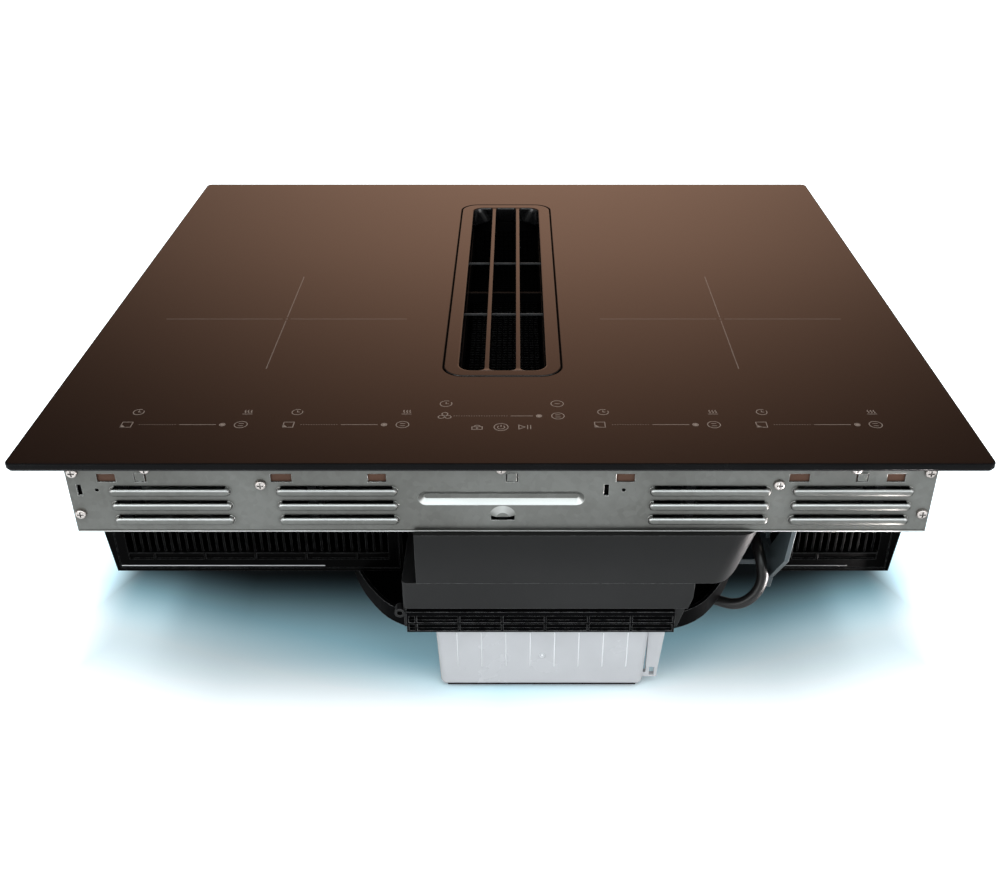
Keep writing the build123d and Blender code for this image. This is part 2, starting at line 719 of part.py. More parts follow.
def louvre_hollow(x, z):
    """Space behind a hood, with its open upper edge."""
    y1 = PANEL_Y + SHEET_T
    inner = Plane((x, y1 + 0.5, z), x_dir=(1, 0, 0), z_dir=(0, -1, 0)) * extrude(
        SlotOverall(LOUVRE_L - 2 * SHEET_T, LOUVRE_H - 2 * SHEET_T), LOUVRE_OUT + 0.5)
    half, top = (LOUVRE_L - LOUVRE_H) / 2, z + LOUVRE_H / 2
    mouth = block(x - half, x + half, PANEL_Y - LOUVRE_OUT + LOUVRE_SHEET, y1 + 0.5,
                  top - LOUVRE_SLOT, top + 0.5)
    return inner + mouth


def panel_channel(panel):
    """Long channel pressed inwards, with its floor behind the sheet."""
    place = Plane((0, PANEL_Y, Z_TOP - CHANNEL_TOP - CHANNEL_H / 2), x_dir=(1, 0, 0), z_dir=(0, 1, 0))
    panel += place * extrude(SlotOverall(CHANNEL_L + 2 * SHEET_T, CHANNEL_H + 2 * SHEET_T),
                             CHANNEL_DEPTH + SHEET_T)
    return panel - place * extrude(SlotOverall(CHANNEL_L, CHANNEL_H), CHANNEL_DEPTH, taper=CHANNEL_SLOPE)


def panel_lance(panel):
    """Half cone pushed out over a slit."""
    z, r = Z_TOP - LANCE_TOP - LANCE_W / 2, LANCE_W / 2
    y0, y1 = PANEL_Y - LANCE_OUT, PANEL_Y + SHEET_T
    low = z + LANCE_RISE
    upper = block(LANCE_X - r, LANCE_X + r, y0, y1 + 1, low, z + r)
    place = Plane((LANCE_X, PANEL_Y, z), x_dir=(1, 0, 0), z_dir=(0, -1, 0))
    hood = loft([place * Circle(r), place.offset(LANCE_OUT) * Circle(LANCE_CROWN)])
    hollow = loft([place * Circle(r - LANCE_WALL),
                   place.offset(LANCE_OUT - LANCE_WALL) * Circle(LANCE_CROWN - LANCE_WALL / 2)])
    hollow += rod_y(LANCE_X, z, r - LANCE_WALL, PANEL_Y, y1 + 1)
    half = (r ** 2 - LANCE_RISE ** 2) ** 0.5 - LANCE_WALL
    panel -= block(LANCE_X - half, LANCE_X + half, y0 - 1, y1 + 1, low - LANCE_SLIT, low)
    return panel + (hood & upper) - (hollow & upper)


def panel_cuts(panel):
    """Windows, tabs with their tongues, key slots with pinholes, and screw holes."""
    y0, y1 = PANEL_Y, PANEL_Y + SHEET_T
    top = Z_TOP - WINDOW_TOP
    for x, wide in WINDOWS:
        panel -= block(x - wide / 2, x + wide / 2, y0 - 1, y1 + 1, top - WINDOW_H, top)
    for x in TAB_XS:
        half = TAB_W / 2 - TAB_GAP
        panel -= block(x - TAB_W / 2, x + TAB_W / 2, y0 - 1, y1 + 1, top - WINDOW_H, top)
        panel += block(x - half, x + half, y0 - TAB_OUT, y1, top - WINDOW_H + TAB_GAP, top + TAB_GAP)
    for x in SLOT_XS:
        panel -= key_slot(x, y0 - 1, y1 + 1)
        panel -= rod_y(x + PINHOLE_DX, Z_RIM - SLOT_TOP, PINHOLE_R, y0 - 1, y1 + 1)
    for x, down in panel_screw_places():
        panel -= screw_cut(x, Z_RIM - down, y0 - 1, y1 + 1)
    return panel


def front_panel():
    w, y0, y1 = CASE_W / 2, PANEL_Y, PANEL_Y + SHEET_T
    fold = w - RETURN_W - HOLE_CLEAR
    panel = block(-w, w, y0, y1, Z_CASE, Z_RIM)
    panel += block(-fold, fold, y0, y0 + RETURN_W, Z_RIM - SHEET_T, Z_RIM)
    panel += block(-fold, fold, y0, y0 + RETURN_W, Z_FLOOR, Z_FLOOR + SHEET_T)
    panel = panel_lance(panel_channel(panel))
    for x in LOUVRE_XS:
        for row in range(LOUVRE_ROWS):
            z = Z_TOP - LOUVRE_DROP - row * LOUVRE_PITCH
            panel += louvre(x, z)
            panel -= louvre_hollow(x, z)
    return only(panel_cuts(panel))


def screw(x, y, z):
    """Pan-head cross screw that is driven towards +Y; y is the sheet under its head."""
    head = rod_y(x, z, SCREW_HEAD_R, y - SCREW_HEAD_H, y)
    head = fillet(head.faces().sort_by(Axis.Y)[0].edges(), min(HEAD_EDGE_R, 0.7 * SCREW_HEAD_H))
    for a, b in ((RECESS_REACH, RECESS_W / 2), (RECESS_W / 2, RECESS_REACH)):
        head -= block(x - a, x + a, y - SCREW_HEAD_H - 1, y - SCREW_HEAD_H + RECESS_DEPTH, z - b, z + b)
    return head + rod_y(x, z, SCREW_R, y, y + SCREW_L)


def panel_screws():
    return group([screw(x, PANEL_Y, Z_RIM - down) for x, down in panel_screw_places()])


def worktop_springs():
    """Bowed strips of spring steel, riveted flat to the case's sides."""
    z0 = Z_CASE + SPRING_UP
    strips = []
    for side in (-1, 1):
        face = side * CASE_W / 2
        for setback in SPRING_SETBACKS:
            bow = [(face, z0), (face, z0 + SPRING_SEAT), (face + side * SPRING_OUT, z0 + SPRING_CREST),
                   (face, z0 + SPRING_H)]
            inner = [(x + side * SPRING_T, z) for x, z in reversed(bow)]
            y = back(setback)
            strips.append(across(bow + inner, y - SPRING_W / 2, y + SPRING_W / 2))
    return group(strips)


# ---------------------------------------------------------------- inside the case
def induction_coil(side, y):
    outer = (COIL_W, COIL_L, COIL_R)
    inner = (COIL_EYE, COIL_EYE, COIL_EYE / 2 - 1)
    return only(frame(side * COIL_X, y, outer, inner, Z_COIL, Z_MICA))


def coil_carrier(side, y):
    x = side * COIL_X
    size = (COIL_W + 2 * CARRIER_RIM, CARRIER_L, COIL_R + CARRIER_RIM)
    plate = slab(x, y, *size, Z_CARRIER, Z_COIL)
    bar = block(SPOKE_IN, SPOKE_OUT, -SPOKE_W / 2, SPOKE_W / 2, -1, SPOKE_DEPTH)
    for i in range(CARRIER_SPOKES):
        turn = (i + 0.5) * 360 / CARRIER_SPOKES
        plate -= Pos(x, y, Z_CARRIER) * Rot(0, 0, turn) * bar
    return only(plate - rod(x, y, CARRIER_EYE_R, Z_CARRIER - 1, Z_COIL + 1))


def coil_tray(side):
    """Aluminium bench that carries two coils; its ends are folded down to the case floor."""
    x = side * COIL_X
    x0, x1 = x - COIL_TRAY_W / 2, x + COIL_TRAY_W / 2
    y0, y1 = TRAY_Y - COIL_TRAY_L / 2, TRAY_Y + COIL_TRAY_L / 2
    bench = block(x0, x1, y0, y1, Z_TRAY, Z_CARRIER)
    bench += block(x0, x1, y0, y0 + COIL_TRAY_T, Z_FLOOR, Z_CARRIER)
    bench += block(x0, x1, y1 - COIL_TRAY_T, y1, Z_FLOOR, Z_CARRIER)
    for i in range(TRAY_WINDOWS):
        cx = x + (i - (TRAY_WINDOWS - 1) / 2) * TRAY_WINDOW_PITCH
        bench -= block(cx - TRAY_WINDOW_W / 2, cx + TRAY_WINDOW_W / 2, y0 - 1, y1 + 1,
                       Z_FLOOR + TRAY_WINDOW_LOW, Z_TRAY - TRAY_WINDOW_HIGH)
    return only(bench)


def insulation_sheet(side):
    x = side * COIL_X
    return only(block(x - COIL_TRAY_W / 2, x + COIL_TRAY_W / 2, TRAY_Y - COIL_TRAY_L / 2,
                      TRAY_Y + COIL_TRAY_L / 2, Z_MICA, Z_MICA + MICA_T))


def power_board(side):
    """Circuit board with its posts, filter capacitors, choke and connector."""
    x, y = side * BOARD_X, BOARD_Y
    board = block(x - BOARD_W / 2, x + BOARD_W / 2, y - BOARD_L / 2, y + BOARD_L / 2,
                  Z_BOARD, Z_BOARD + BOARD_T)
    low, top = Z_BOARD + BOARD_T / 2, Z_BOARD + BOARD_T
    for sx in (-1, 1):
        for sy in (-1, 0, 1):
            board += rod(x + sx * (BOARD_W / 2 - POST_INSET), y + sy * (BOARD_L / 2 - POST_INSET),
                         STANDOFF_R, Z_FLOOR, low)
    for i in range(CAN_ROWS):
        cx, cy = x + CAN_DX, y + CAN_DY + CAN_PITCH * i
        board += block(cx - CAN_W / 2, cx + CAN_W / 2, cy - CAN_L / 2, cy + CAN_L / 2, low, top + CAN_H)
        board += rod(cx + CAN_W / 2 + 1.5 * CAN_R, cy, CAN_R, low, top + CAN_H - 4)
    board += tube(x + CHOKE_DX, y + CHOKE_DY, CHOKE_R, CHOKE_BORE_R, low, top + CHOKE_H)
    cx, cy = x + PLUG_DX, y + PLUG_DY
    board += block(cx - PLUG_W / 2, cx + PLUG_W / 2, cy - PLUG_L / 2, cy + PLUG_L / 2, low, top + PLUG_H)
    return only(board)


def heat_sink(side):
    x, y = side * BOARD_X, BOARD_Y + SINK_DY
    z0 = Z_BOARD + BOARD_T
    x0, x1 = x - SINK_W / 2, x + SINK_W / 2
    sink = block(x0, x1, y - SINK_L / 2, y + SINK_L / 2, z0, z0 + SINK_BASE)
    pitch = (SINK_W - SINK_FIN_T) / (SINK_FINS - 1)
    for i in range(SINK_FINS):
        sink += block(x0 + i * pitch, x0 + i * pitch + SINK_FIN_T, y - SINK_L / 2, y + SINK_L / 2,
                      z0, z0 + SINK_H)
    return only(sink)


def cooling_fan_frame(side):
    x, half = side * FAN_X, FAN_SIZE / 2
    body = slab(x, FAN_Y, FAN_SIZE, FAN_SIZE, FAN_CORNER_R, Z_FLOOR, Z_FLOOR + FAN_T)
    body -= rod(x, FAN_Y, half - FAN_WALL, Z_FLOOR - 1, Z_FLOOR + FAN_T + 1)
    spoke = block(0, half - FAN_WALL / 2, -FAN_SPOKE_W / 2, FAN_SPOKE_W / 2, 0, FAN_HUB_T)
    for i in range(FAN_SPOKES):
        body += Pos(x, FAN_Y, Z_FLOOR) * Rot(0, 0, 360 / FAN_SPOKES * i) * spoke
    body += rod(x, FAN_Y, ROTOR_HUB_R, Z_FLOOR, Z_FLOOR + FAN_HUB_T)
    pin_top = Z_FLOOR + FAN_T - ROTOR_LIFT - ROTOR_CAP - 1
    return only(body + rod(x, FAN_Y, FAN_PIN_R, Z_FLOOR + FAN_HUB_T / 2, pin_top))


def cooling_rotor(side):
    x, z0, z1 = side * FAN_X, Z_FLOOR + FAN_HUB_T + ROTOR_LIFT / 4, Z_FLOOR + FAN_T - ROTOR_LIFT
    rotor = rod(x, FAN_Y, ROTOR_HUB_R, z0, z1)
    root = ROTOR_HUB_R - 2
    vane = Pos((ROTOR_R + root) / 2, 0, (z0 + z1) / 2) * Rot(VANE_TILT, 0, 0) * Box(
        ROTOR_R - root, VANE_W, VANE_T)
    for i in range(ROTOR_BLADES):
        rotor += Pos(x, FAN_Y, 0) * Rot(0, 0, 360 / ROTOR_BLADES * i) * vane
    return only(rotor - rod(x, FAN_Y, FAN_PIN_R + RUN_CLEAR, z0 - 1, z1 - ROTOR_CAP))


def touch_board():
    y, z1 = back(TOUCH_SETBACK), Z_GLASS - GUIDE_H
    board = block(-TOUCH_W / 2, TOUCH_W / 2, y - TOUCH_L / 2, y + TOUCH_L / 2, z1 - TOUCH_T, z1)
    low = z1 - TOUCH_T / 2
    for x in GUIDE_XS:
        y0, y1 = y - 1.5 * GUIDE_W, y + SLIDER_GUIDE_D / 2
        board += block(x - GUIDE_W / 2, x + GUIDE_W / 2, y0, y0 + GUIDE_W, low, Z_GLASS)
        board += block(x - SLIDER_GUIDE_W / 2, x + SLIDER_GUIDE_W / 2, y1, y1 + SLIDER_GUIDE_D,
                       low, Z_GLASS - 1)
    return only(board)


def touch_carrier():
    """Bed on legs that holds the touch board under the glass."""
    y, w = back(TOUCH_SETBACK), TOUCH_W / 2
    z1 = Z_GLASS - GUIDE_H - TOUCH_T
    front = y - TOUCH_L / 2
    bed = block(-w, w, front, y + TOUCH_L / 2, z1 - TOUCH_BED_T, z1)
    half = TOUCH_LEG / 2
    for i in range(TOUCH_LEGS):
        x = -w + TOUCH_LEG + i * (TOUCH_W - 2 * TOUCH_LEG) / (TOUCH_LEGS - 1)
        bed += block(x - half, x + half, front, front + TOUCH_FRONT_LEG, Z_FLOOR + SHEET_T, z1 - 1)
        bed += block(x - half, x + half, y - half, y + half, Z_FLOOR, z1 - 1)
    return only(bed)


def terminal_box():
    """Box under the case floor, open downwards, with the terminal blocks in it."""
    x, y1, z0 = TERMINAL_X, REAR_Y, Z_CASE - TERMINAL_H
    half, t = TERMINAL_W / 2, TERMINAL_T
    y0 = y1 - TERMINAL_D
    box = block(x - half, x + half, y0, y1, z0, Z_CASE)
    box -= block(x - half + t, x + half - t, y0 + t, y1 - t, z0 - 1, Z_CASE - t)
    box -= rod_y(x, z0 + TERMINAL_H / 2, INLET_R + INLET_WALL, y1 - 2 * t, y1 + 1)
    for i in range(POLES):
        cx = x + (i - (POLES - 1) / 2) * TERMINAL_W / (POLES + 1)
        box += block(cx - POLE_W / 2, cx + POLE_W / 2, y0 + t / 2, y0 + t + POLE_D, Z_CASE - POLE_H,
                     Z_CASE - t / 2)
    return only(box)


def terminal_cover():
    z0 = Z_CASE - TERMINAL_H
    return only(slab(TERMINAL_X, REAR_Y - TERMINAL_D / 2, TERMINAL_W, TERMINAL_D, TERMINAL_T,
                     z0 - TERMINAL_COVER_T, z0))


def mains_gland():
    x, z = TERMINAL_X, Z_CASE - TERMINAL_H / 2
    gland = rod_y(x, z, INLET_R + INLET_WALL, REAR_Y - INLET_SEAT, REAR_Y + INLET_OUT)
    gland += rod_y(x, z, INLET_FLANGE_R, REAR_Y, REAR_Y + INLET_FLANGE_T)
    gland = chamfer(gland.faces().sort_by(Axis.Y)[-1].edges(), 1.0)
    return only(gland - rod_y(x, z, INLET_R, REAR_Y - INLET_SEAT - 1, REAR_Y + INLET_OUT + 1))


# ---------------------------------------------------------------- fan and housings
def upper_outline(t, z0, z1):
    """Upper housing's outer form, or its inside where t is the wall."""
    x0, x1 = UPPER_LEFT + t, UPPER_RIGHT - t
    y0, y1 = back(UPPER_SETBACK) + t, DUCT_REAR - t
    foot = x1 - UPPER_DRAFT
    form = across([(x0, z0), (foot, z0), (x1, z1), (x0, z1)], y0, y1)
    corner = [e for e in form.edges()
              if abs(e.center().X - (foot + x1) / 2) < 0.1 and abs(e.center().Y - y0) < 0.1]
    base = [e for e in form.edges().filter_by(Axis.Y) if abs(e.center().X - foot) < 0.1]
    return fillet(corner, UPPER_CORNER_R - t) & fillet(base, UPPER_BILGE_R - t)


def upper_fan_housing():
    """Tray with a lip along its front; behind that the case's floor closes it."""
    outer = upper_outline(0, Z_SPLIT, Z_CASE)
    shell = outer - upper_outline(HOUSING_T, Z_SPLIT + HOUSING_T, Z_CASE + 1)
    shell += outer & block(-GLASS_W, GLASS_W, BLOCK_Y, BLOCK_Y + UPPER_LIP, Z_CASE - HOUSING_T, Z_CASE)
    low, high = Z_SPLIT - 1, Z_SPLIT + HOUSING_T + 1
    shell -= rod(FAN_AXIS_X, FAN_AXIS_Y, INLET_RING_R + INLET_RING_CLEAR, low, high)
    shell -= rod(DRAIN_X, back(DRAIN_SETBACK), DRAIN_R + DRAIN_CLEAR, low, high)
    return only(shell)


def inlet_ring():
    """Bell mouth in the floor of the upper housing."""
    x, y, bore = FAN_AXIS_X, FAN_AXIS_Y, INLET_RING_R - INLET_RING_T
    z0 = Z_SPLIT + HOUSING_T
    z1 = z0 + INLET_RING_T
    ring = tube(x, y, INLET_RING_R, bore, z0 - INLET_RING_H, z1)
    return only(ring + tube(x, y, INLET_RING_R + INLET_RING_FLANGE, bore, z0, z1))


def throat(t, z0, z1):
    """Way from the scroll to the rear duct, or its inside where t is the wall."""
    x1 = FAN_AXIS_X + SCROLL_R + HOUSING_T - t
    x0 = FAN_AXIS_X + SCROLL_R + HOUSING_T - THROAT_W + t
    return block(x0, x1, FAN_AXIS_Y, DUCT_Y, z0, z1)


def block_outline(t, z0, z1):
    """Front block with its stepped right end, or its inside where t is the wall."""
    y0, y1 = BLOCK_Y + t, BLOCK_Y + BLOCK_DEPTH - t
    points = [(BLOCK_LEFT + t, Z_SPLIT), (BLOCK_RIGHT - t, Z_SPLIT),
              (BLOCK_STEP_X - t, Z_SPLIT - BLOCK_STEP), (BLOCK_RIGHT_LOW - t, Z_BOWL),
              (BLOCK_LEFT + t, Z_BOWL)]
    form = across(points, y0, y1)
    if t == 0:
        form = fillet(upright_edges(form, BLOCK_LEFT, BLOCK_Y), BLOCK_CORNER_R)
    return form & block(-GLASS_W, GLASS_W, y0, y1, z0, z1)


def lower_fan_housing():
    x, y = FAN_AXIS_X, FAN_AXIS_Y
    top = Z_SPLIT - HOUSING_T
    body = rod(x, y, SCROLL_R + HOUSING_T, Z_BOWL, Z_SPLIT)
    body += block_outline(0, Z_BOWL, Z_SPLIT)
    body += throat(0, Z_BOWL, Z_SPLIT)
    for bx, by in boss_places():
        body += rod(bx, by, BOSS_R, Z_BOWL, Z_SPLIT)
    recess_y, recess_top = BLOCK_Y + BAND_D + BAND_CLEAR, Z_DISH + BAND_H + BAND_GAP_H
    chamber = block_outline(HOUSING_T, Z_BOWL - 1, top) - rod(x, y, SCROLL_R + HOUSING_T, 0, Z_SPLIT)
    body -= chamber - block(BLOCK_LEFT, BLOCK_RIGHT, BLOCK_Y, recess_y + HOUSING_T,
                            0, recess_top + HOUSING_T)
    body -= rod(x, y, SCROLL_R, Z_BOWL - 1, top)
    body -= throat(HOUSING_T, Z_BOWL + HOUSING_T, top)
    body -= rod(x, y, INLET_RING_R + INLET_RING_CLEAR, top - 1, Z_SPLIT + 1)
    body -= rod(DRAIN_X, back(DRAIN_SETBACK), DRAIN_R + DRAIN_CLEAR, top - 1, Z_SPLIT + 1)
    for bx, by in boss_places():
        body -= rod(bx, by, SCREW_R + SCREW_HOLE_CLEAR, Z_BOWL - 1, Z_BOWL + SCREW_L)
    body -= block(BLOCK_LEFT - 1, BLOCK_RIGHT, BLOCK_Y - 1, recess_y, Z_BOWL - 1, recess_top)
    body += rod_y(EAR_X, Z_EAR, EAR_R, EAR_Y, EAR_Y + EAR_L)
    body -= rod_y(EAR_X, Z_EAR, EAR_HOLE_R, EAR_Y - 1, EAR_Y + EAR_L + 1)
    return only(body)


def boss_places():
    """Screw bosses round the scroll."""
    reach = SCROLL_R + HOUSING_T + BOSS_R - BOSS_SINK
    return [(FAN_AXIS_X + reach * cos(radians(a)), FAN_AXIS_Y + reach * sin(radians(a)))
            for a in BOSS_ANGLES]


def dish_outline(t, z0, z1):
    """Round dish with a flat front, or its inside where t is the wall."""
    r, y0 = DISH_R - t, back(DISH_SETBACK) + t
    form = rod(FAN_AXIS_X, FAN_AXIS_Y, r, z0, z1)
    form &= block(-GLASS_W, GLASS_W, y0, GLASS_D, z0, z1)
    half = (r ** 2 - (FAN_AXIS_Y - y0) ** 2) ** 0.5
    corners = upright_edges(form, FAN_AXIS_X - half, y0) + upright_edges(form, FAN_AXIS_X + half, y0)
    return fillet(corners, DISH_CORNER_R - t)


def front_band():
    """Ribbed band along the dish's front, with two rows of pockets."""
    y0, y1 = BLOCK_Y, BLOCK_Y + BAND_D
    x0, x1 = BAND_LEFT - BAND_END, BAND_LEFT + BAND_CELLS * BAND_PITCH
    low, high = Z_BOWL - BAND_RIB, Z_DISH + BAND_H
    middle = (low + high - BAND_BAR) / 2
    band = block(x0, x1, y1 - BAND_WEB, y1, low, high)
    for z0, z1 in ((high - BAND_BAR, high), (middle, middle + BAND_RIB), (low, low + BAND_RIB)):
        band += block(x0, x1, y0, y1, z0, z1)
    for x in (x0 + BAND_RIB / 2, *(BAND_LEFT + i * BAND_PITCH for i in range(BAND_CELLS)), x1 - BAND_RIB / 2):
        band += block(x - BAND_RIB / 2, x + BAND_RIB / 2, y0, y1, low, high)
    return band


def bottom_dish():
    dish = dish_outline(0, Z_DISH, Z_DISH + DISH_RIM_H)
    dish -= dish_outline(DISH_T, Z_BOWL, Z_DISH + DISH_RIM_H + 1)
    # the throat and the front block pass through the rim
    dish -= throat(-THROAT_CLEAR, Z_BOWL, Z_SPLIT)
    dish -= block_outline(0, Z_BOWL, Z_SPLIT)
    dish -= rod_y(EAR_X, Z_EAR, EAR_R + EAR_CLEAR, BLOCK_Y, EAR_Y + EAR_L + 1)
    for bx, by in boss_places():
        dish -= rod(bx, by, SCREW_R + SCREW_HOLE_CLEAR, Z_DISH - 1, Z_BOWL + 1)
    dish += front_band()
    for side in (-1, 1):
        foot = rod(FAN_AXIS_X + side * FOOT_X, back(FOOT_SETBACK), FOOT_R, 0, Z_DISH + 1)
        dish += chamfer(foot.faces().sort_by(Axis.Z)[0].edges(), FOOT_CHAMFER)
    dish -= rod(DRAIN_X, back(DRAIN_SETBACK), DRAIN_R + DRAIN_CLEAR, Z_DISH - 1, Z_BOWL + 1)
    return only(dish)


def fan_motor():
    x, y = FAN_AXIS_X, FAN_AXIS_Y
    motor = rod(x, y, MOTOR_R, Z_BOWL, Z_MOTOR)
    motor = fillet(motor.faces().sort_by(Axis.Z)[-1].edges(), MOTOR_EDGE_R)
    return only(motor - rod(x, y, SHAFT_R + RUN_CLEAR, Z_BOWL + MOTOR_BASE, Z_MOTOR + 1))


def motor_shaft():
    z0 = Z_BOWL + MOTOR_BASE + SHAFT_FOOT_GAP
    return only(rod(FAN_AXIS_X, FAN_AXIS_Y, SHAFT_R, z0, Z_SHROUD - 1))


def blade(angle):
    """Backward-curved blade: a slice of a ring whose centre lies beside the fan axis."""
    r0, r1, lean = CUP_R + BLADE_ROOT, IMPELLER_R - 1, radians(BLADE_LEAN)
    p0, p1 = Vector(r0, 0), Vector(r1 * cos(lean), -r1 * sin(lean))
    chord = p1 - p0
    normal = Vector(-chord.Y, chord.X).normalized()
    mid = (p0 + p1) * 0.5 + normal * (chord.length * BLADE_BOW)
    half = normal * (BLADE_T / 2)
    face = make_face([ThreePointArc(p0 + half, mid + half, p1 + half), Line(p1 + half, p1 - half),
                      ThreePointArc(p1 - half, mid - half, p0 - half), Line(p0 - half, p0 + half)])
    vane = extrude(face, Z_SHROUD - Z_CUP - PLATE_T / 2)
    return Pos(FAN_AXIS_X, FAN_AXIS_Y, Z_CUP + PLATE_T / 2) * Rot(0, 0, angle) * vane


def fan_impeller():
    x, y = FAN_AXIS_X, FAN_AXIS_Y
    cup_top = Z_MOTOR + RUN_GAP + CUP_T
    wheel = tube(x, y, IMPELLER_R, CUP_R - CUP_T, Z_CUP, Z_CUP + PLATE_T)
    wheel += tube(x, y, CUP_R, CUP_R - CUP_T, Z_CUP, cup_top)
    wheel += rod(x, y, CUP_R, cup_top - CUP_T, cup_top)
    wheel += rod(x, y, HUB_R, cup_top - CUP_T - 2, Z_SHROUD - 2)
    wheel += tube(x, y, IMPELLER_R, IMPELLER_EYE_R, Z_SHROUD - PLATE_T, Z_SHROUD)
    for i in range(IMPELLER_BLADES):
        wheel += blade(360 / IMPELLER_BLADES * i)
    return only(wheel - rod(x, y, SHAFT_R, Z_CUP - 1, Z_SHROUD + 1))


# ---------------------------------------------------------------- ducts and filters
def duct_form(t):
    """Rear duct: middle box, cross duct and a riser behind each filter box."""
    y1 = CROSS_REAR
    form = block(DUCT_LEFT + t, DUCT_RIGHT - t, DUCT_Y + t, DUCT_REAR - t, t, Z_SPLIT - t)
    form += block(-FILTER_OUT + t, FILTER_OUT - t, DUCT_Y + t, y1 - t, Z_FILTER + t, Z_SPLIT - t)
    form += block(-FILTER_OUT + t, UPPER_LEFT - RISER_GAP - t, DUCT_Y + t, y1 - t,
                  Z_FILTER + t, Z_CASE - t)
    form += block(UPPER_RIGHT + RISER_GAP + t, FILTER_OUT - t, DUCT_Y + t, y1 - t,
                  Z_FILTER + t, Z_CASE - t)
    return form


def rear_duct():
    t = FILTER_T
    duct = duct_form(0) - duct_form(t)
    x1 = FAN_AXIS_X + SCROLL_R
    x0 = x1 + 2 * HOUSING_T - THROAT_W
    mouths = [(x0, x1, Z_BOWL + HOUSING_T, Z_SPLIT - HOUSING_T)]
    for side in (-1, 1):
        low, high = filter_span(side)
        mouths.append((low + DUCT_RIM, high - DUCT_RIM, Z_FILTER + DUCT_RIM, Z_CASE - DUCT_RIM))
    for low, high, z0, z1 in mouths:
        duct -= block(low, high, DUCT_Y - 1, DUCT_Y + t + 1, z0, z1)
    inner_w, inner_h = SPIGOT_W - 2 * SPIGOT_T, SPIGOT_H - 2 * SPIGOT_T
    z0 = (Z_SPLIT - inner_h) / 2
    duct -= block(DUCT_X - inner_w / 2, DUCT_X + inner_w / 2, DUCT_REAR - t - 1, DUCT_REAR + 1,
                  z0, z0 + inner_h)
    return only(duct)


def duct_spigot():
    place = Plane((DUCT_X, DUCT_REAR, Z_SPLIT / 2), x_dir=(1, 0, 0), z_dir=(0, 1, 0))
    flange_w, flange_h = SPIGOT_W + 2 * SPIGOT_FLANGE, SPIGOT_H + 2 * SPIGOT_FLANGE
    spigot = place * extrude(RectangleRounded(flange_w, flange_h, SPIGOT_R), SPIGOT_FLANGE_T)
    spigot += place * extrude(RectangleRounded(SPIGOT_W, SPIGOT_H, SPIGOT_R), SPIGOT_L)
    bore = RectangleRounded(SPIGOT_W - 2 * SPIGOT_T, SPIGOT_H - 2 * SPIGOT_T, SPIGOT_R - SPIGOT_T)
    return only(spigot - place * Pos(0, 0, -1) * extrude(bore, SPIGOT_L + 2))


def filter_span(side):
    """Low and high X of the filter box on one side."""
    return (-FILTER_OUT, FILTER_LEFT_IN) if side < 0 else (FILTER_RIGHT_IN, FILTER_OUT)


def filter_box(side):
    x0, x1 = filter_span(side)
    t, y0, rim = FILTER_T, back(FILTER_SETBACK), DUCT_RIM
    side_x, flare_x, z1 = side * FILTER_OUT, side * (FILTER_OUT + FILTER_FLARE), Z_FILTER + FILTER_FLARE_H
    box = block(x0, x1, y0, DUCT_Y, Z_FILTER, Z_CASE)
    box += across([(side_x, Z_FILTER), (flare_x, z1), (flare_x, Z_CASE), (side_x, Z_CASE)], y0, DUCT_Y)
    box -= block(x0 + t, x1 - t, y0 - 1, DUCT_Y - t, Z_FILTER + t, Z_CASE - t)
    box -= block(x0 + rim, x1 - rim, DUCT_Y - t - 1, DUCT_Y + 1, Z_FILTER + rim, Z_CASE - rim)
    stop = y0 + CASSETTE_D + CASSETTE_CLEAR
    for low, high in ((x0 + t, x0 + 2 * t), (x1 - 2 * t, x1 - t)):
        box += block(low, high, stop, stop + t, Z_FILTER + t, Z_CASE - t)
    return only(box)


def cassette_span(side):
    x0, x1 = filter_span(side)
    gap = FILTER_T + CASSETTE_CLEAR
    return x0 + gap, x1 - gap, Z_FILTER + FILTER_T + CASSETTE_CLEAR, Z_CASE - FILTER_T - CASSETTE_CLEAR


def filter_cassette(side):
    """Open frame with upright fins over its front and pull tabs on its upper edge."""
    x0, x1, z0, z1 = cassette_span(side)
    y0, y1 = back(FILTER_SETBACK), back(FILTER_SETBACK) + CASSETTE_D
    f, wall, lip = CASSETTE_FRAME, CASSETTE_WALL, CASSETTE_LIP
    body = block(x0, x1, y0, y1, z0, z1)
    body -= block(x0 + f, x1 - f, y0 - 1, y0 + FIN_D, z0 + 2 * lip, z1 - wall)
    body -= block(x0 + wall, x1 - wall, y0 + FIN_D, y1 + 1, z0 + wall, z1 - wall)
    count = int((x1 - x0 - 2 * f) / FIN_PITCH)
    first = (x0 + x1) / 2 - (count - 1) * FIN_PITCH / 2
    for i in range(count):
        x = first + i * FIN_PITCH
        body += block(x - FIN_T / 2, x + FIN_T / 2, y0 + FIN_SETBACK, y0 + FIN_D, z0 + lip, z1 - wall / 2)
    # groove along the lower frame with small ticks across it, and the plain lip under it
    body -= block(x0 + f, x1 - f, y0 - 1, y0 + GROOVE_D, z0 + lip + GROOVE_EDGE, z0 + 2 * lip - GROOVE_EDGE)
    ticks = int((x1 - x0 - 2 * f) / TICK_PITCH)
    for i in range(ticks):
        x = x0 + f + (i + 0.5) * TICK_PITCH
        body += block(x - TICK_W / 2, x + TICK_W / 2, y0, y0 + 2 * GROOVE_D, z0 + lip, z0 + 2 * lip)
    middle = (x0 + x1) / 2 + PULL_SHIFT
    wide = x1 - x0 > PULL_STEP + 2 * PULL_W
    for x in ((middle - PULL_STEP / 2, middle + PULL_STEP / 2) if wide else (middle - PULL_SHIFT,)):
        z = z1 - PULL_H
        body += block(x - PULL_W / 2, x + PULL_W / 2, y0 - PULL_OUT, y0 + PULL_IN, z, z + PULL_T)
    return only(body)


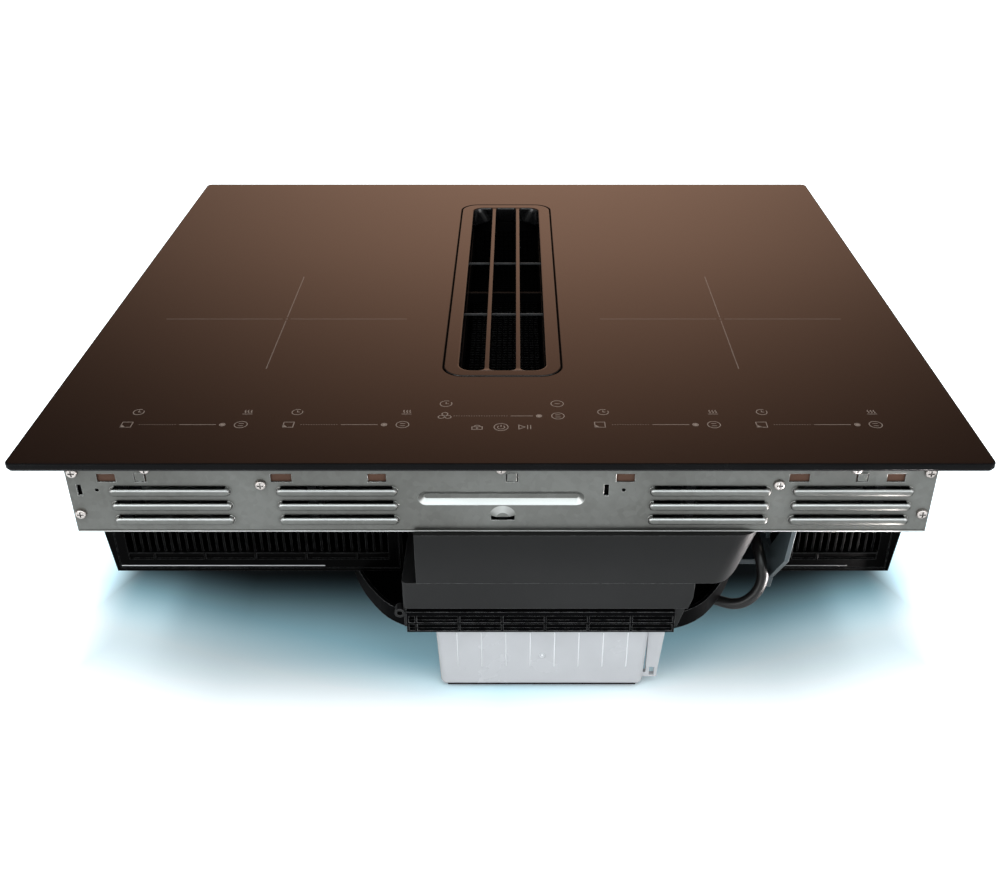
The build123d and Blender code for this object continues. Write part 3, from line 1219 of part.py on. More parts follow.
def filter_pad(side):
    """Slab of carbon foam behind the fins."""
    x0, x1, z0, z1 = cassette_span(side)
    y0 = back(FILTER_SETBACK)
    wall, g = CASSETTE_WALL, CASSETTE_WALL + PAD_GAP / 2
    return only(block(x0 + g, x1 - g, y0 + FIN_D, y0 + CASSETTE_D - wall, z0 + wall, z1 - g))


# ---------------------------------------------------------------- water tank
def tank_form(inset, z0, z1):
    """Tank's outer form, drawn in towards the floor, or its inside where inset is the wall."""
    w, d, r = TANK_W - 2 * inset, TANK_D - 2 * inset, TANK_R - inset
    y = TANK_Y + TANK_D / 2
    low = Pos(TANK_X, y, z0) * RectangleRounded(w - 2 * TANK_DRAFT, d - 2 * TANK_DRAFT, r)
    high = Pos(TANK_X, y, z1) * RectangleRounded(w, d, r)
    return loft([low.face(), high.face()], ruled=True)


def water_tank():
    tank = tank_form(0, Z_TANK, Z_TANK_TOP)
    tank = fillet(tank.faces().sort_by(Axis.Z)[0].edges(), TANK_FOOT_R)
    half = TANK_W / 2 + TANK_LIP_W
    tank += block(TANK_X - half, TANK_X + half, TANK_Y + TANK_LIP_FRONT, TANK_Y + TANK_D, Z_LIP - TANK_LIP_T,
                  Z_LIP)
    tank -= tank_form(TANK_T, Z_TANK + TANK_T, Z_TANK_TOP + 0.01)
    y0 = TANK_Y + TANK_T - TANK_RIB_W / 2
    for i in range(TANK_RIBS):
        x = TANK_X + (i - (TANK_RIBS - 1) / 2) * TANK_RIB_PITCH
        tank += block(x - TANK_RIB_W / 2, x + TANK_RIB_W / 2, y0, TANK_Y + TANK_T + TANK_RIB_D,
                      Z_TANK + TANK_RIB_UP, Z_TANK_TOP - TANK_T)
    return only(tank)


def tank_clip():
    """Latch arm beside the tank's front, narrower towards its foot."""
    x0, z1 = TANK_X + TANK_W / 2, Z_TANK_TOP
    z0 = z1 - CLIP_H
    toe, inner = x0 + CLIP_FOOT_W + CLIP_TOE_OUT, x0 - TANK_DRAFT
    points = [(x0, z1), (x0 + CLIP_W, z1), (toe, z0 + CLIP_TOE), (toe, z0), (inner, z0),
              (inner, z0 + CLIP_TOE), (x0, z0 + CLIP_TOE)]
    y0 = TANK_Y + TANK_R + 0.5
    arm = across(points, y0, y0 + CLIP_T)
    slot_x, slot_z = x0 + CLIP_SLOT_IN, z0 + CLIP_SLOT_LOW
    arm -= block(slot_x, slot_x + CLIP_SLOT_W, y0 - 1, y0 + CLIP_T + 1, slot_z, slot_z + CLIP_SLOT_H)
    return only(arm - tank_form(0, Z_TANK, Z_TANK_TOP))


def tank_rails():
    """Angle rails under the dish that hold the tank by its lip."""
    rails = []
    y0, y1 = back(RAIL_SETBACK), TANK_Y + TANK_D + 2
    lip_x = TANK_W / 2 + TANK_LIP_W + RAIL_CLEAR
    z1 = Z_LIP - TANK_LIP_T - RAIL_CLEAR
    for side in (-1, 1):
        web = sorted((TANK_X + side * lip_x, TANK_X + side * (lip_x + RAIL_T)))
        shelf = sorted((TANK_X + side * (TANK_W / 2 + RAIL_SIDE_CLEAR), TANK_X + side * (lip_x + RAIL_T)))
        rail = block(*web, y0, y1, z1 - RAIL_T, Z_DISH)
        rails.append(rail + block(*shelf, y0, y1, z1 - RAIL_T, z1))
    return group(rails)


def drain_tube():
    x, y, z1 = DRAIN_X, back(DRAIN_SETBACK), Z_SPLIT + HOUSING_T
    pipe = tube(x, y, DRAIN_R, DRAIN_BORE_R, Z_DISH - DRAIN_OUT, z1 + 1)
    return only(pipe + tube(x, y, DRAIN_R + DRAIN_LIP, DRAIN_BORE_R, z1, z1 + 1))


# ---------------------------------------------------------------- fan lead and its bracket
def lead_route():
    """Points of the fan lead, from the grommet to the junction box's gland."""
    x, y = GROMMET_X, back(GROMMET_SETBACK)
    end_y, end_z = back(JUNCTION_SETBACK) - GLAND_L, Z_DISH - GLAND_DOWN
    bends = [(x + right, y - forwards, Z_CASE - down) for right, forwards, down in LEAD_BENDS]
    return [(x, y, Z_CASE - GROMMET_H / 2), *bends, (JUNCTION_X, end_y - LEAD_END, end_z),
            (JUNCTION_X, end_y, end_z)]


def lead_radii(points):
    """Largest tangent arc for each corner of the route."""
    radii = []
    for a, b, c in zip(points, points[1:], points[2:]):
        first, second = Vector(*b) - Vector(*a), Vector(*c) - Vector(*b)
        half_turn = radians(first.get_angle(second)) / 2
        radii.append(0.45 * min(first.length, second.length) / tan(half_turn))
    return radii


def fan_lead():
    points = lead_route()
    radii = lead_radii(points)
    print("fan lead radii", [round(r, 1) for r in radii])
    path = FilletPolyline(*points, radius=radii)
    start = Plane(origin=points[0], z_dir=path % 0)
    lead = sweep(start * Circle(LEAD_R), path=path)
    print("fan lead volume", round(lead.volume), "section times length",
          round(pi * LEAD_R ** 2 * path.length), "length", round(path.length, 1))
    return only(lead)


def lead_grommet():
    x, y = GROMMET_X, back(GROMMET_SETBACK)
    z0 = Z_CASE - GROMMET_H / 2
    body = rod(x, y, GROMMET_R, z0, Z_CASE) + rod(x, y, GROMMET_NECK_R, z0, Z_FLOOR + 2)
    body += rod(x, y, GROMMET_R, Z_FLOOR, Z_FLOOR + 2)
    return only(fillet(body.faces().sort_by(Axis.Z)[0].edges(), 1))


def junction_box():
    x, y0 = JUNCTION_X, back(JUNCTION_SETBACK)
    box = slab(x, y0 + JUNCTION_D / 2, JUNCTION_W, JUNCTION_D, 3, Z_DISH - JUNCTION_H, Z_DISH)
    z = Z_DISH - GLAND_DOWN
    return only(box + rod_y(x, z, GLAND_R, y0 - GLAND_L, y0 + 1))


def support_bracket():
    """Gusset between the case floor and the dish, beside the lead's loop."""
    def side_plate(points, x, thick):
        """Plate across X; each point lies behind GUSSET_FRONT and down from the case."""
        outline = [(back(GUSSET_FRONT + behind), Z_CASE - down) for behind, down in points]
        return Pos(x, 0, 0) * extrude(Plane.YZ * make_face(Polyline(*outline, close=True)), thick)

    y1, depth = back(GUSSET_BACK), GUSSET_BACK - GUSSET_FRONT
    plate = side_plate([*GUSSET_EDGE, (depth, GUSSET_H), (depth, 0)], GUSSET_X, GUSSET_T)
    plate -= side_plate(GUSSET_WINDOW, GUSSET_X - 1, GUSSET_T + 2)
    plate += block(GUSSET_X + GUSSET_T - GUSSET_FLANGE_W, GUSSET_X + GUSSET_T, y1 - GUSSET_FLANGE_L, y1,
                   Z_CASE - SHEET_T, Z_CASE)
    plate += block(FAN_AXIS_X + DISH_R - GUSSET_LAP, GUSSET_X + 1, y1 - GUSSET_FOOT, y1,
                   Z_CASE - GUSSET_H, Z_CASE - GUSSET_H + GUSSET_FOOT_T)
    return only(plate - rod(FAN_AXIS_X, FAN_AXIS_Y, DISH_R, 0, Z_SPLIT))


def housing_screws():
    """Screws through the dish into the lower housing's bosses, heads down."""
    return group([Pos(x, y, Z_DISH) * Rot(90, 0, 0) * screw(0, 0, 0) for x, y in boss_places()])


# ---------------------------------------------------------------- write every node
def sided(name, make):
    """One node for each side of the appliance."""
    for side, word in ((-1, "left"), (1, "right")):
        write(f"{name}_{word}", make(side))


def coils():
    for side, word in ((-1, "left"), (1, "right")):
        for row, y in (("front", TRAY_Y - COIL_STEP), ("rear", TRAY_Y + COIL_STEP)):
            write(f"induction_coil_{row}_{word}", induction_coil(side, y))
            write(f"coil_carrier_{row}_{word}", coil_carrier(side, y))


def main():
    single = (glass_top, glass_seal, vent_grille, intake_well, filter_frame, filter_mesh, case_tray,
              front_panel, panel_screws, worktop_springs, touch_board, touch_carrier, terminal_box,
              terminal_cover, mains_gland, upper_fan_housing, inlet_ring, lower_fan_housing, bottom_dish,
              fan_motor, motor_shaft, fan_impeller, rear_duct, duct_spigot, water_tank, tank_clip,
              tank_rails, drain_tube, fan_lead, lead_grommet, junction_box, support_bracket, housing_screws)
    for make in single:
        write(make.__name__, make())
    for make in (coil_tray, insulation_sheet, power_board, heat_sink, cooling_fan_frame, cooling_rotor,
                 filter_box, filter_cassette, filter_pad):
        sided(make.__name__, make)
    coils()


main()
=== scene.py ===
"""Looks of the downdraft induction cooktop: finishes, printed marks, grille, lead, light and camera.

Everything is in metres in the part's own frame: X to the right, the controls towards -Y, +Z up.
"""
import json
import math

import bmesh
import bpy
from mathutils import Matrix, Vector


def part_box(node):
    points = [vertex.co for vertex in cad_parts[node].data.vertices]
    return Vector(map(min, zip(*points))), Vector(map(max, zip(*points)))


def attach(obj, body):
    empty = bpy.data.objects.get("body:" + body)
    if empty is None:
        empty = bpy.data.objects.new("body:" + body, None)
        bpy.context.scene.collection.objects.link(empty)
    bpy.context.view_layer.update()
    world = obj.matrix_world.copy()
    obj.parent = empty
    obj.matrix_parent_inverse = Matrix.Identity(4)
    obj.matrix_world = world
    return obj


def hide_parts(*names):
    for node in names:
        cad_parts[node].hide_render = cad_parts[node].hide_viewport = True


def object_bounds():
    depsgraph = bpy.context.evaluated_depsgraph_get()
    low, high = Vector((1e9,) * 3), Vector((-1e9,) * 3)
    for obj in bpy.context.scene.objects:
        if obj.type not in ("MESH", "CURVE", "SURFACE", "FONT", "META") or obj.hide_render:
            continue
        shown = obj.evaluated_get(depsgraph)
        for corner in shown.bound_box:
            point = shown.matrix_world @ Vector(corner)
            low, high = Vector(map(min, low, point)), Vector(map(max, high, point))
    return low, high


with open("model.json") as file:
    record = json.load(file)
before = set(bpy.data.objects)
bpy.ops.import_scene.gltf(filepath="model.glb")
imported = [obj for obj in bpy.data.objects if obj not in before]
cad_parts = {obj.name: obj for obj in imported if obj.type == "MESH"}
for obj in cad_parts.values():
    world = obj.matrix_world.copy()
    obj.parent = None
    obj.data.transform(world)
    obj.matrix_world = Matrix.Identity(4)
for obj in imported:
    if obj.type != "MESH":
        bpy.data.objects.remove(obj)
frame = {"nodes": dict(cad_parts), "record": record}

bl_info = {
    "name": "Downdraft cooktop looks",
    "version": (1, 0, 0),
    "blender": (4, 5, 0),
    "location": "View3D > Sidebar > Cooktop",
    "description": "Finishes, printed marks, vent grille, fan lead and studio of a downdraft cooktop",
    "category": "Object",
}

MM = 0.001
CAD_LOW, CAD_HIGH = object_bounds()
GLASS_LOW, GLASS_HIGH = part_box("glass_top")
VENT_LOW, VENT_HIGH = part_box("vent_grille")
VENT_MIDDLE = (VENT_LOW.y + VENT_HIGH.y) / 2
FRONT = GLASS_LOW.y
CASE_FOOT = 138 * MM     # underside of the steel case
PANEL_FACE = FRONT + 33 * MM
SHEET = 1 * MM           # thickness of the front panel
TANK_MIDDLE = 27.6 * MM
TANK_LEAN = 2.2 * MM     # how much the tank's front leans in at its floor
# Painted shade under the steel case: the fan housing is painted darker from this height up.
PAINTED_SHADE_START = 95 * MM     # height at which the fan housing starts to darken
GRILLE_RIM = 10 * MM     # the grille's rim at its long sides
GRILLE_RIM_END = 8.5 * MM
SKIRT_CORNER = 22 * MM   # the grille's corner radius at its foot, larger than at its top
CORNER_STEPS = 10        # points in each rounded corner
PRINT_LIFT = 0.03 * MM   # how far the printed marks stand over the glass
WARM_SHINE = (1.0, 0.72, 0.55, 1)   # tint of what the brown glass reflects


def scene_sizes():
    """The sizes and colours that the sidebar shows."""
    return bpy.context.scene.cooktop_looks


# ---------------------------------------------------------------- mesh helpers
def linked(name, data):
    """A new object in the scene for a mesh, curve, lamp or camera."""
    made = bpy.data.objects.new(name, data)
    bpy.context.scene.collection.objects.link(made)
    return made


def new_piece(name, bm, body, finish):
    """An object for a finished mesh, riding on its body and taking a slot's finish."""
    piece = linked(name, finished_mesh(bm, name))
    piece.data.materials.append(finish)
    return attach(piece, body)


def rounded_ring(x, y, width, length, radius, z):
    """Points round a rectangle with rounded corners."""
    points = []
    radius = max(radius, 1e-5)
    corners = ((1, 1, 0), (-1, 1, 90), (-1, -1, 180), (1, -1, 270))
    for sx, sy, start in corners:
        cx, cy = x + sx * (width / 2 - radius), y + sy * (length / 2 - radius)
        for i in range(CORNER_STEPS + 1):
            a = math.radians(start + 90 * i / CORNER_STEPS)
            points.append((cx + radius * math.cos(a), cy + radius * math.sin(a), z))
    return points


def skin_rings(bm, rings, closed=True):
    """Quads between rings that have the same number of points; an open skin gets two end faces."""
    made = [[bm.verts.new(p) for p in ring] for ring in rings]
    for low, high in zip(made, made[1:] + made[:1] if closed else made[1:]):
        for i in range(len(low)):
            j = (i + 1) % len(low)
            bm.faces.new((low[i], low[j], high[j], high[i]))
    if not closed:
        bm.faces.new(made[0])
        bm.faces.new(made[-1])


def finished_mesh(bm, name):
    """The mesh with outward normals, smooth except at its sharp edges."""
    bmesh.ops.recalc_face_normals(bm, faces=bm.faces)
    limit = math.radians(40)
    for face in bm.faces:
        face.smooth = True
    for edge in bm.edges:
        if len(edge.link_faces) == 2 and edge.calc_face_angle(0) > limit:
            edge.smooth = False
    mesh = bpy.data.meshes.new(name)
    bm.to_mesh(mesh)
    bm.free()
    return mesh


def arris(width, length, radius, z_flat, z_side, round_off, steps=3):
    """Rings that turn an edge from its side at z_side to its flat at z_flat."""
    rings = []
    for i in range(steps + 1):
        a = math.radians(90 * i / steps)
        inset = round_off * (1 - math.cos(a))
        z = z_side + (z_flat - z_side) * math.sin(a)
        rings.append((width - 2 * inset, length - 2 * inset, radius - inset, z))
    return rings


# ---------------------------------------------------------------- shader helpers
def material(name):
    """A new material, its node tree and its Principled shader."""
    made = bpy.data.materials.new(name)
    made.use_nodes = True
    tree = made.node_tree
    return made, tree, tree.nodes["Principled BSDF"]


def fixed(made, **inputs):
    """Constant input values of a node; an underscore in a name stands for a space."""
    for key, value in inputs.items():
        made.inputs[key.replace("_", " ")].default_value = value
    return made


def node(tree, kind, **inputs):
    """A new node with its input values."""
    return fixed(tree.nodes.new(kind), **inputs)


def effect(name, inputs, outputs):
    """An empty shader group with float inputs and outputs, and its two end nodes."""
    group = bpy.data.node_groups.new(name, "ShaderNodeTree")
    for label, value in inputs.items():
        socket = group.interface.new_socket(label, in_out="INPUT", socket_type="NodeSocketFloat")
        socket.default_value = value
    for label in outputs:
        group.interface.new_socket(label, in_out="OUTPUT", socket_type="NodeSocketFloat")
    return group, group.nodes.new("NodeGroupInput"), group.nodes.new("NodeGroupOutput")


def place(tree, group_name, **values):
    """One of the shared effects, placed in a material with its own values."""
    made = tree.nodes.new("ShaderNodeGroup")
    made.node_tree = bpy.data.node_groups[group_name]
    return fixed(made, **values)


def scaled(colour, factor):
    """A colour made lighter or darker."""
    return [factor * c for c in colour]


def cover(tree, factor, under, over):
    """Colour under, turning into colour over with a mask. Each is a socket or three numbers."""
    mix = tree.nodes.new("ShaderNodeMix")
    mix.data_type = "RGBA"
    tree.links.new(factor, mix.inputs[0])
    for socket, value in ((mix.inputs[6], under), (mix.inputs[7], over)):
        if isinstance(value, bpy.types.NodeSocket):
            tree.links.new(value, socket)
        else:
            socket.default_value = (*value, 1)
    return mix.outputs[2]


def blend(tree, factor, first, second):
    """Shader that turns from the first to the second with a mask."""
    mix = tree.nodes.new("ShaderNodeMixShader")
    for socket, value in zip(mix.inputs, (factor, first, second)):
        tree.links.new(value, socket)
    return mix.outputs[0]


def object_place(tree):
    """Coordinates of the object's own frame."""
    return tree.nodes.new("ShaderNodeTexCoord").outputs["Object"]


def geometry(tree, output):
    """One value of the surface, such as its normal."""
    return tree.nodes.new("ShaderNodeNewGeometry").outputs[output]


def parts_of(tree, vector):
    """Its X, Y and Z outputs."""
    split = tree.nodes.new("ShaderNodeSeparateXYZ")
    tree.links.new(vector, split.inputs["Vector"])
    return split.outputs


def spread(tree, value, low, high, start=0.0, end=1.0, smooth=False):
    """A 0 to 1 value spread over another range."""
    ranged = node(tree, "ShaderNodeMapRange", From_Min=start, From_Max=end, To_Min=low, To_Max=high)
    if smooth:
        ranged.interpolation_type = "SMOOTHSTEP"
    tree.links.new(value, ranged.inputs["Value"])
    return ranged.outputs["Result"]


def maths(tree, operation, *values):
    """Result of a sum with sockets or numbers."""
    made = tree.nodes.new("ShaderNodeMath")
    made.operation = operation
    for socket, value in zip(made.inputs, values):
        if isinstance(value, (int, float)):
            socket.default_value = value
        else:
            tree.links.new(value, socket)
    return made.outputs["Value"]


def painted_recess_shade(tree, base, distance, amount, dark):
    """Colour socket base, with painted shade where the shape closes in on itself."""
    closed = place(tree, "recess_shade", Distance=distance)
    return cover(tree, spread(tree, closed.outputs["Mask"], 0, amount), base, dark)


def relief(tree, shader, height, distance, edge=0.0):
    """Fine relief from a height, in metres, over edges that are rounded by a radius."""
    bump = node(tree, "ShaderNodeBump", Distance=distance)
    tree.links.new(height, bump.inputs["Height"])
    if edge:
        soft = place(tree, "soft_edge", Radius=edge)
        tree.links.new(soft.outputs["Normal"], bump.inputs["Normal"])
    tree.links.new(bump.outputs["Normal"], shader.inputs["Normal"])


def noise_over(tree, scale, detail, stretch=(1, 1, 1)):
    """Noise over the object's own coordinates. Its scale is a socket or a number."""
    mapping = node(tree, "ShaderNodeMapping", Scale=stretch)
    tree.links.new(object_place(tree), mapping.inputs["Vector"])
    noise = node(tree, "ShaderNodeTexNoise", Detail=detail)
    tree.links.new(mapping.outputs["Vector"], noise.inputs["Vector"])
    if isinstance(scale, float):
        noise.inputs["Scale"].default_value = scale
    else:
        tree.links.new(scale, noise.inputs["Scale"])
    return noise.outputs["Fac"]


def rounded_normal(group, radius):
    """Normal that is rounded off over the edges."""
    bevel = group.nodes.new("ShaderNodeBevel")
    bevel.samples = 4
    group.links.new(radius, bevel.inputs["Radius"])
    return bevel.outputs["Normal"]


def coat(tree, shader, base, mask, smooth, rough):
    """Base colour, and a roughness that runs from smooth to rough with a mask."""
    tree.links.new(base, shader.inputs["Base Color"])
    tree.links.new(spread(tree, mask, smooth, rough), shader.inputs["Roughness"])


def build_moulded_grain():
    """Fine texture of a moulded surface, and slow cloudy variation over it."""
    group, start, end = effect("moulded_grain", {"Scale": 1800.0, "Cloud": 9.0}, ("Height", "Shade"))
    slow = noise_over(group, start.outputs["Cloud"], 5.0)
    group.links.new(noise_over(group, start.outputs["Scale"], 2.0), end.inputs["Height"])
    group.links.new(spread(group, slow, 0, 1, 0.3, 0.7), end.inputs["Shade"])


def build_edge_wear_and_highlight():
    """Mask of the edges that finishes paint lighter, partly as rubbed wear and partly as a painted highlight
    along them: the rounded normal leaves the flat one there.
    """
    group, start, end = effect("edge_wear_and_highlight", {"Radius": 0.0006, "Breakup": 220.0}, ("Mask",))
    dot = group.nodes.new("ShaderNodeVectorMath")
    dot.operation = "DOT_PRODUCT"
    group.links.new(rounded_normal(group, start.outputs["Radius"]), dot.inputs[0])
    group.links.new(geometry(group, "Normal"), dot.inputs[1])
    edge = spread(group, dot.outputs["Value"], 1, 0, 0.80, 0.985)
    broken = spread(group, noise_over(group, start.outputs["Breakup"], 3.0), 0.25, 1, 0.35, 0.6)
    group.links.new(maths(group, "MULTIPLY", edge, broken), end.inputs["Mask"])


def build_soft_edge():
    """Normal that turns smoothly over an edge, so that edges catch the light."""
    group, start, end = effect("soft_edge", {"Radius": 0.0006}, ())
    group.interface.new_socket("Normal", in_out="OUTPUT", socket_type="NodeSocketVector")
    group.links.new(rounded_normal(group, start.outputs["Radius"]), end.inputs["Normal"])


def build_recess_shade():
    """Mask of corners and hollows, where little light comes in."""
    group, start, end = effect("recess_shade", {"Distance": 0.01}, ("Mask",))
    closed = group.nodes.new("ShaderNodeAmbientOcclusion")
    closed.samples = 6
    group.links.new(start.outputs["Distance"], closed.inputs["Distance"])
    group.links.new(spread(group, closed.outputs["AO"], 1, 0), end.inputs["Mask"])


def build_zinc_skin():
    """Rolled zinc: crystals, fine rolling streaks along X, and handling marks."""
    group, start, end = effect("zinc_skin", {"Crystal": 90.0, "Streak": 260.0},
                               ("Crystals", "Streaks", "Marks"))
    cells = group.nodes.new("ShaderNodeTexVoronoi")
    group.links.new(object_place(group), cells.inputs["Vector"])
    group.links.new(start.outputs["Crystal"], cells.inputs["Scale"])
    grey = group.nodes.new("ShaderNodeSeparateColor")
    group.links.new(cells.outputs["Color"], grey.inputs["Color"])
    group.links.new(grey.outputs["Red"], end.inputs["Crystals"])
    streak = noise_over(group, start.outputs["Streak"], 3.0, (0.03, 1, 1))
    group.links.new(spread(group, streak, 0, 1, 0.3, 0.7), end.inputs["Streaks"])
    marks = noise_over(group, 14.0, 6.0)
    group.links.new(spread(group, marks, 0, 1, 0.42, 0.68), end.inputs["Marks"])


def build_settled_dust():
    """Thin dust on faces that look up, and greasy film elsewhere in patches."""
    group, start, end = effect("settled_dust", {"Amount": 0.3}, ("Mask",))
    up = spread(group, parts_of(group, geometry(group, "Normal"))["Z"], 0.15, 1, 0.1, 0.95)
    patches = spread(group, noise_over(group, 24.0, 6.0), 0, 1, 0.38, 0.72)
    dust = maths(group, "MULTIPLY", maths(group, "MULTIPLY", patches, up), start.outputs["Amount"])
    group.links.new(dust, end.inputs["Mask"])


# ---------------------------------------------------------------- finishes
def ceramic_glass():
    """Dark brown ceramic glass: deep gloss with a very faint wiped film."""
    looks = scene_sizes()
    mat, tree, shader = material("ceramic_glass")
    film = place(tree, "moulded_grain", Scale=260.0, Cloud=5.0)
    tint = cover(tree, film.outputs["Shade"], looks.glass_colour, scaled(looks.glass_colour, 1.12))
    coat(tree, shader, tint, film.outputs["Shade"], 0.10, 0.135)
    fixed(shader, IOR=1.52, Specular_Tint=WARM_SHINE)
    return mat


def polished_edge():
    """Ground edge of the glass, a little lighter and duller than its face."""
    mat, tree, shader = material("polished_glass_edge")
    ground = place(tree, "moulded_grain", Scale=3000.0, Cloud=40.0)
    base = cover(tree, ground.outputs["Shade"], (0.0015, 0.0015, 0.002), (0.003, 0.003, 0.0035))
    coat(tree, shader, base, ground.outputs["Shade"], 0.18, 0.28)
    fixed(shader, Specular_IOR_Level=0.1)
    relief(tree, shader, ground.outputs["Height"], 0.00002)
    return mat


def printed_ink(name, colour):
    """Fired ceramic print, faintly mottled."""
    mat, tree, shader = material(name)
    mottle = place(tree, "moulded_grain", Scale=4000.0, Cloud=300.0)
    base = cover(tree, mottle.outputs["Shade"], scaled(colour, 0.8), colour)
    coat(tree, shader, base, mottle.outputs["Shade"], 0.12, 0.2)
    fixed(shader, Specular_Tint=WARM_SHINE)
    return mat


def zinc_steel():
    """Galvanised sheet with fine crystals and rolling streaks, a painted highlight on faces that look up,
    painted shade under the glass and in hollows, and lighter edges.
    """
    mat, tree, shader = material("zinc_steel")
    skin = place(tree, "zinc_skin", Crystal=260.0)
    wear_and_highlight = place(tree, "edge_wear_and_highlight", Radius=0.0008, Breakup=160.0)
    marks = spread(tree, skin.outputs["Marks"], 0.1, 0.7)
    tone = maths(tree, "MULTIPLY_ADD", skin.outputs["Crystals"], 0.22, marks)
    base = cover(tree, tone, (0.152, 0.152, 0.142), (0.255, 0.26, 0.248))
    # Faces that look up are painted much lighter: a painted highlight on the louvre ridges.
    up = spread(tree, parts_of(tree, geometry(tree, "Normal"))["Z"], 0, 1, 0.1, 0.5, smooth=True)
    base = cover(tree, up, base, (0.66, 0.67, 0.66))
    # Painted shade under the glass's overhang and in the louvres and other hollows.
    base = painted_recess_shade(tree, base, 0.035, 0.9, (0.045, 0.038, 0.032))
    # Edges painted lighter: partly rubbed wear, partly a painted highlight.
    base = cover(tree, wear_and_highlight.outputs["Mask"], base, (0.8, 0.8, 0.78))
    coat(tree, shader, base, skin.outputs["Marks"], 0.30, 0.40)
    fixed(shader, Metallic=1.0)
    relief(tree, shader, skin.outputs["Streaks"], 0.00002, 0.0009)
    return mat


def moulded_plastic(name, colour, rough=0.42, grain=0.00003, dust=0.25, wear_and_highlight=0.35, gloss=0.5,
                    pale=0.02, painted_shade_start=None):
    """Moulded plastic with grain, cloudy tone, dust on top, and paler edges that are partly rubbed wear and
    partly a painted highlight. With a start height given, its hollows get painted shade, and so does all of
    it from that height up to the case: painted shade under the case."""
    mat, tree, shader = material(name)
    texture = place(tree, "moulded_grain", Scale=1500.0, Cloud=12.0)
    edges = place(tree, "edge_wear_and_highlight", Radius=0.0005, Breakup=300.0)
    powder = place(tree, "settled_dust", Amount=dust)
    base = cover(tree, texture.outputs["Shade"], scaled(colour, 0.8), scaled(colour, 1.15))
    # Painted shade under the steel case, darker from the given height up, and painted shade in the hollows.
    if painted_shade_start is not None:
        height = parts_of(tree, object_place(tree))["Z"]
        painted_panel_shade = spread(tree, height, 0, 0.75, painted_shade_start, CASE_FOOT, smooth=True)
        base = cover(tree, painted_panel_shade, base, scaled(colour, 0.1))
        base = painted_recess_shade(tree, base, 3 * MM, 1.0, scaled(colour, 0.1))
    # Paler edges: partly rubbed wear, partly a painted highlight.
    pale_edge_and_highlight = [min(1, 2.2 * c + pale) for c in colour]
    base = cover(tree, spread(tree, edges.outputs["Mask"], 0, wear_and_highlight), base, pale_edge_and_highlight)
    base = cover(tree, powder.outputs["Mask"], base, (0.16, 0.155, 0.15))
    coat(tree, shader, base, texture.outputs["Shade"], rough - 0.05, rough + 0.1)
    fixed(shader, Specular_IOR_Level=gloss)
    relief(tree, shader, texture.outputs["Height"], grain, 0.0007)
    return mat


def bare_metal(name, dark, light, rough=0.3):
    """Machined or rolled metal with fine streaks, painted shade in its small recesses, and lighter edges."""
    mat, tree, shader = material(name)
    skin = place(tree, "zinc_skin", Crystal=400.0, Streak=900.0)
    wear_and_highlight = place(tree, "edge_wear_and_highlight", Radius=0.0004, Breakup=400.0)
    base = cover(tree, skin.outputs["Streaks"], dark, light)
    # Painted shade in small recesses, such as the screws' crosses.
    base = painted_recess_shade(tree, base, 0.003, 1.0, scaled(dark, 0.08))
    # Lighter edges: partly rubbed wear, partly a painted highlight.
    base = cover(tree, wear_and_highlight.outputs["Mask"], base, [min(1, 1.3 * c) for c in light])
    coat(tree, shader, base, skin.outputs["Marks"], rough, rough + 0.12)
    fixed(shader, Metallic=1.0)
    relief(tree, shader, skin.outputs["Streaks"], 0.00002, 0.0005)
    return mat


def clear_plastic():
    """Translucent tank plastic, frosted and faintly clouded by use, with painted shade on faces that look
    down.
    """
    looks = scene_sizes()
    mat, tree, shader = material("tank_plastic")
    cloud = place(tree, "moulded_grain", Scale=900.0, Cloud=30.0)
    base = cover(tree, cloud.outputs["Shade"], looks.tank_colour, scaled(looks.tank_colour, 1.07))
    # Faces that look down are painted near black: painted shade on the tank's underside.
    under = spread(tree, parts_of(tree, geometry(tree, "Normal"))["Z"], 0, 0.95, -0.35, -0.7)
    coat(tree, shader, cover(tree, under, base, (0.02, 0.03, 0.035)), cloud.outputs["Shade"], 0.16, 0.30)
    fixed(shader, Transmission_Weight=0.03, IOR=1.49)
    relief(tree, shader, cloud.outputs["Height"], 0.00002)
    return mat


def wound_copper():
    """Stranded copper winding: turns round each coil's middle."""
    mat, tree, shader = material("wound_copper")
    waves = node(tree, "ShaderNodeTexWave", Scale=150.0, Distortion=0.4, Detail=2.0)
    waves.wave_type = "RINGS"
    tree.links.new(object_place(tree), waves.inputs["Vector"])
    base = cover(tree, waves.outputs["Fac"], (0.20, 0.07, 0.03), (0.62, 0.27, 0.13))
    coat(tree, shader, base, waves.outputs["Fac"], 0.5, 0.3)
    fixed(shader, Metallic=1.0)
    relief(tree, shader, waves.outputs["Fac"], 0.0004)
    return mat


def carbon_foam():
    """Open-celled black foam."""
    mat, tree, shader = material("carbon_foam")
    cells = node(tree, "ShaderNodeTexVoronoi", Scale=700.0)
    tree.links.new(object_place(tree), cells.inputs["Vector"])
    base = cover(tree, cells.outputs["Distance"], (0.004, 0.004, 0.004), (0.03, 0.03, 0.03))
    coat(tree, shader, base, cells.outputs["Distance"], 0.8, 0.95)
    relief(tree, shader, cells.outputs["Distance"], 0.0008)
    return mat


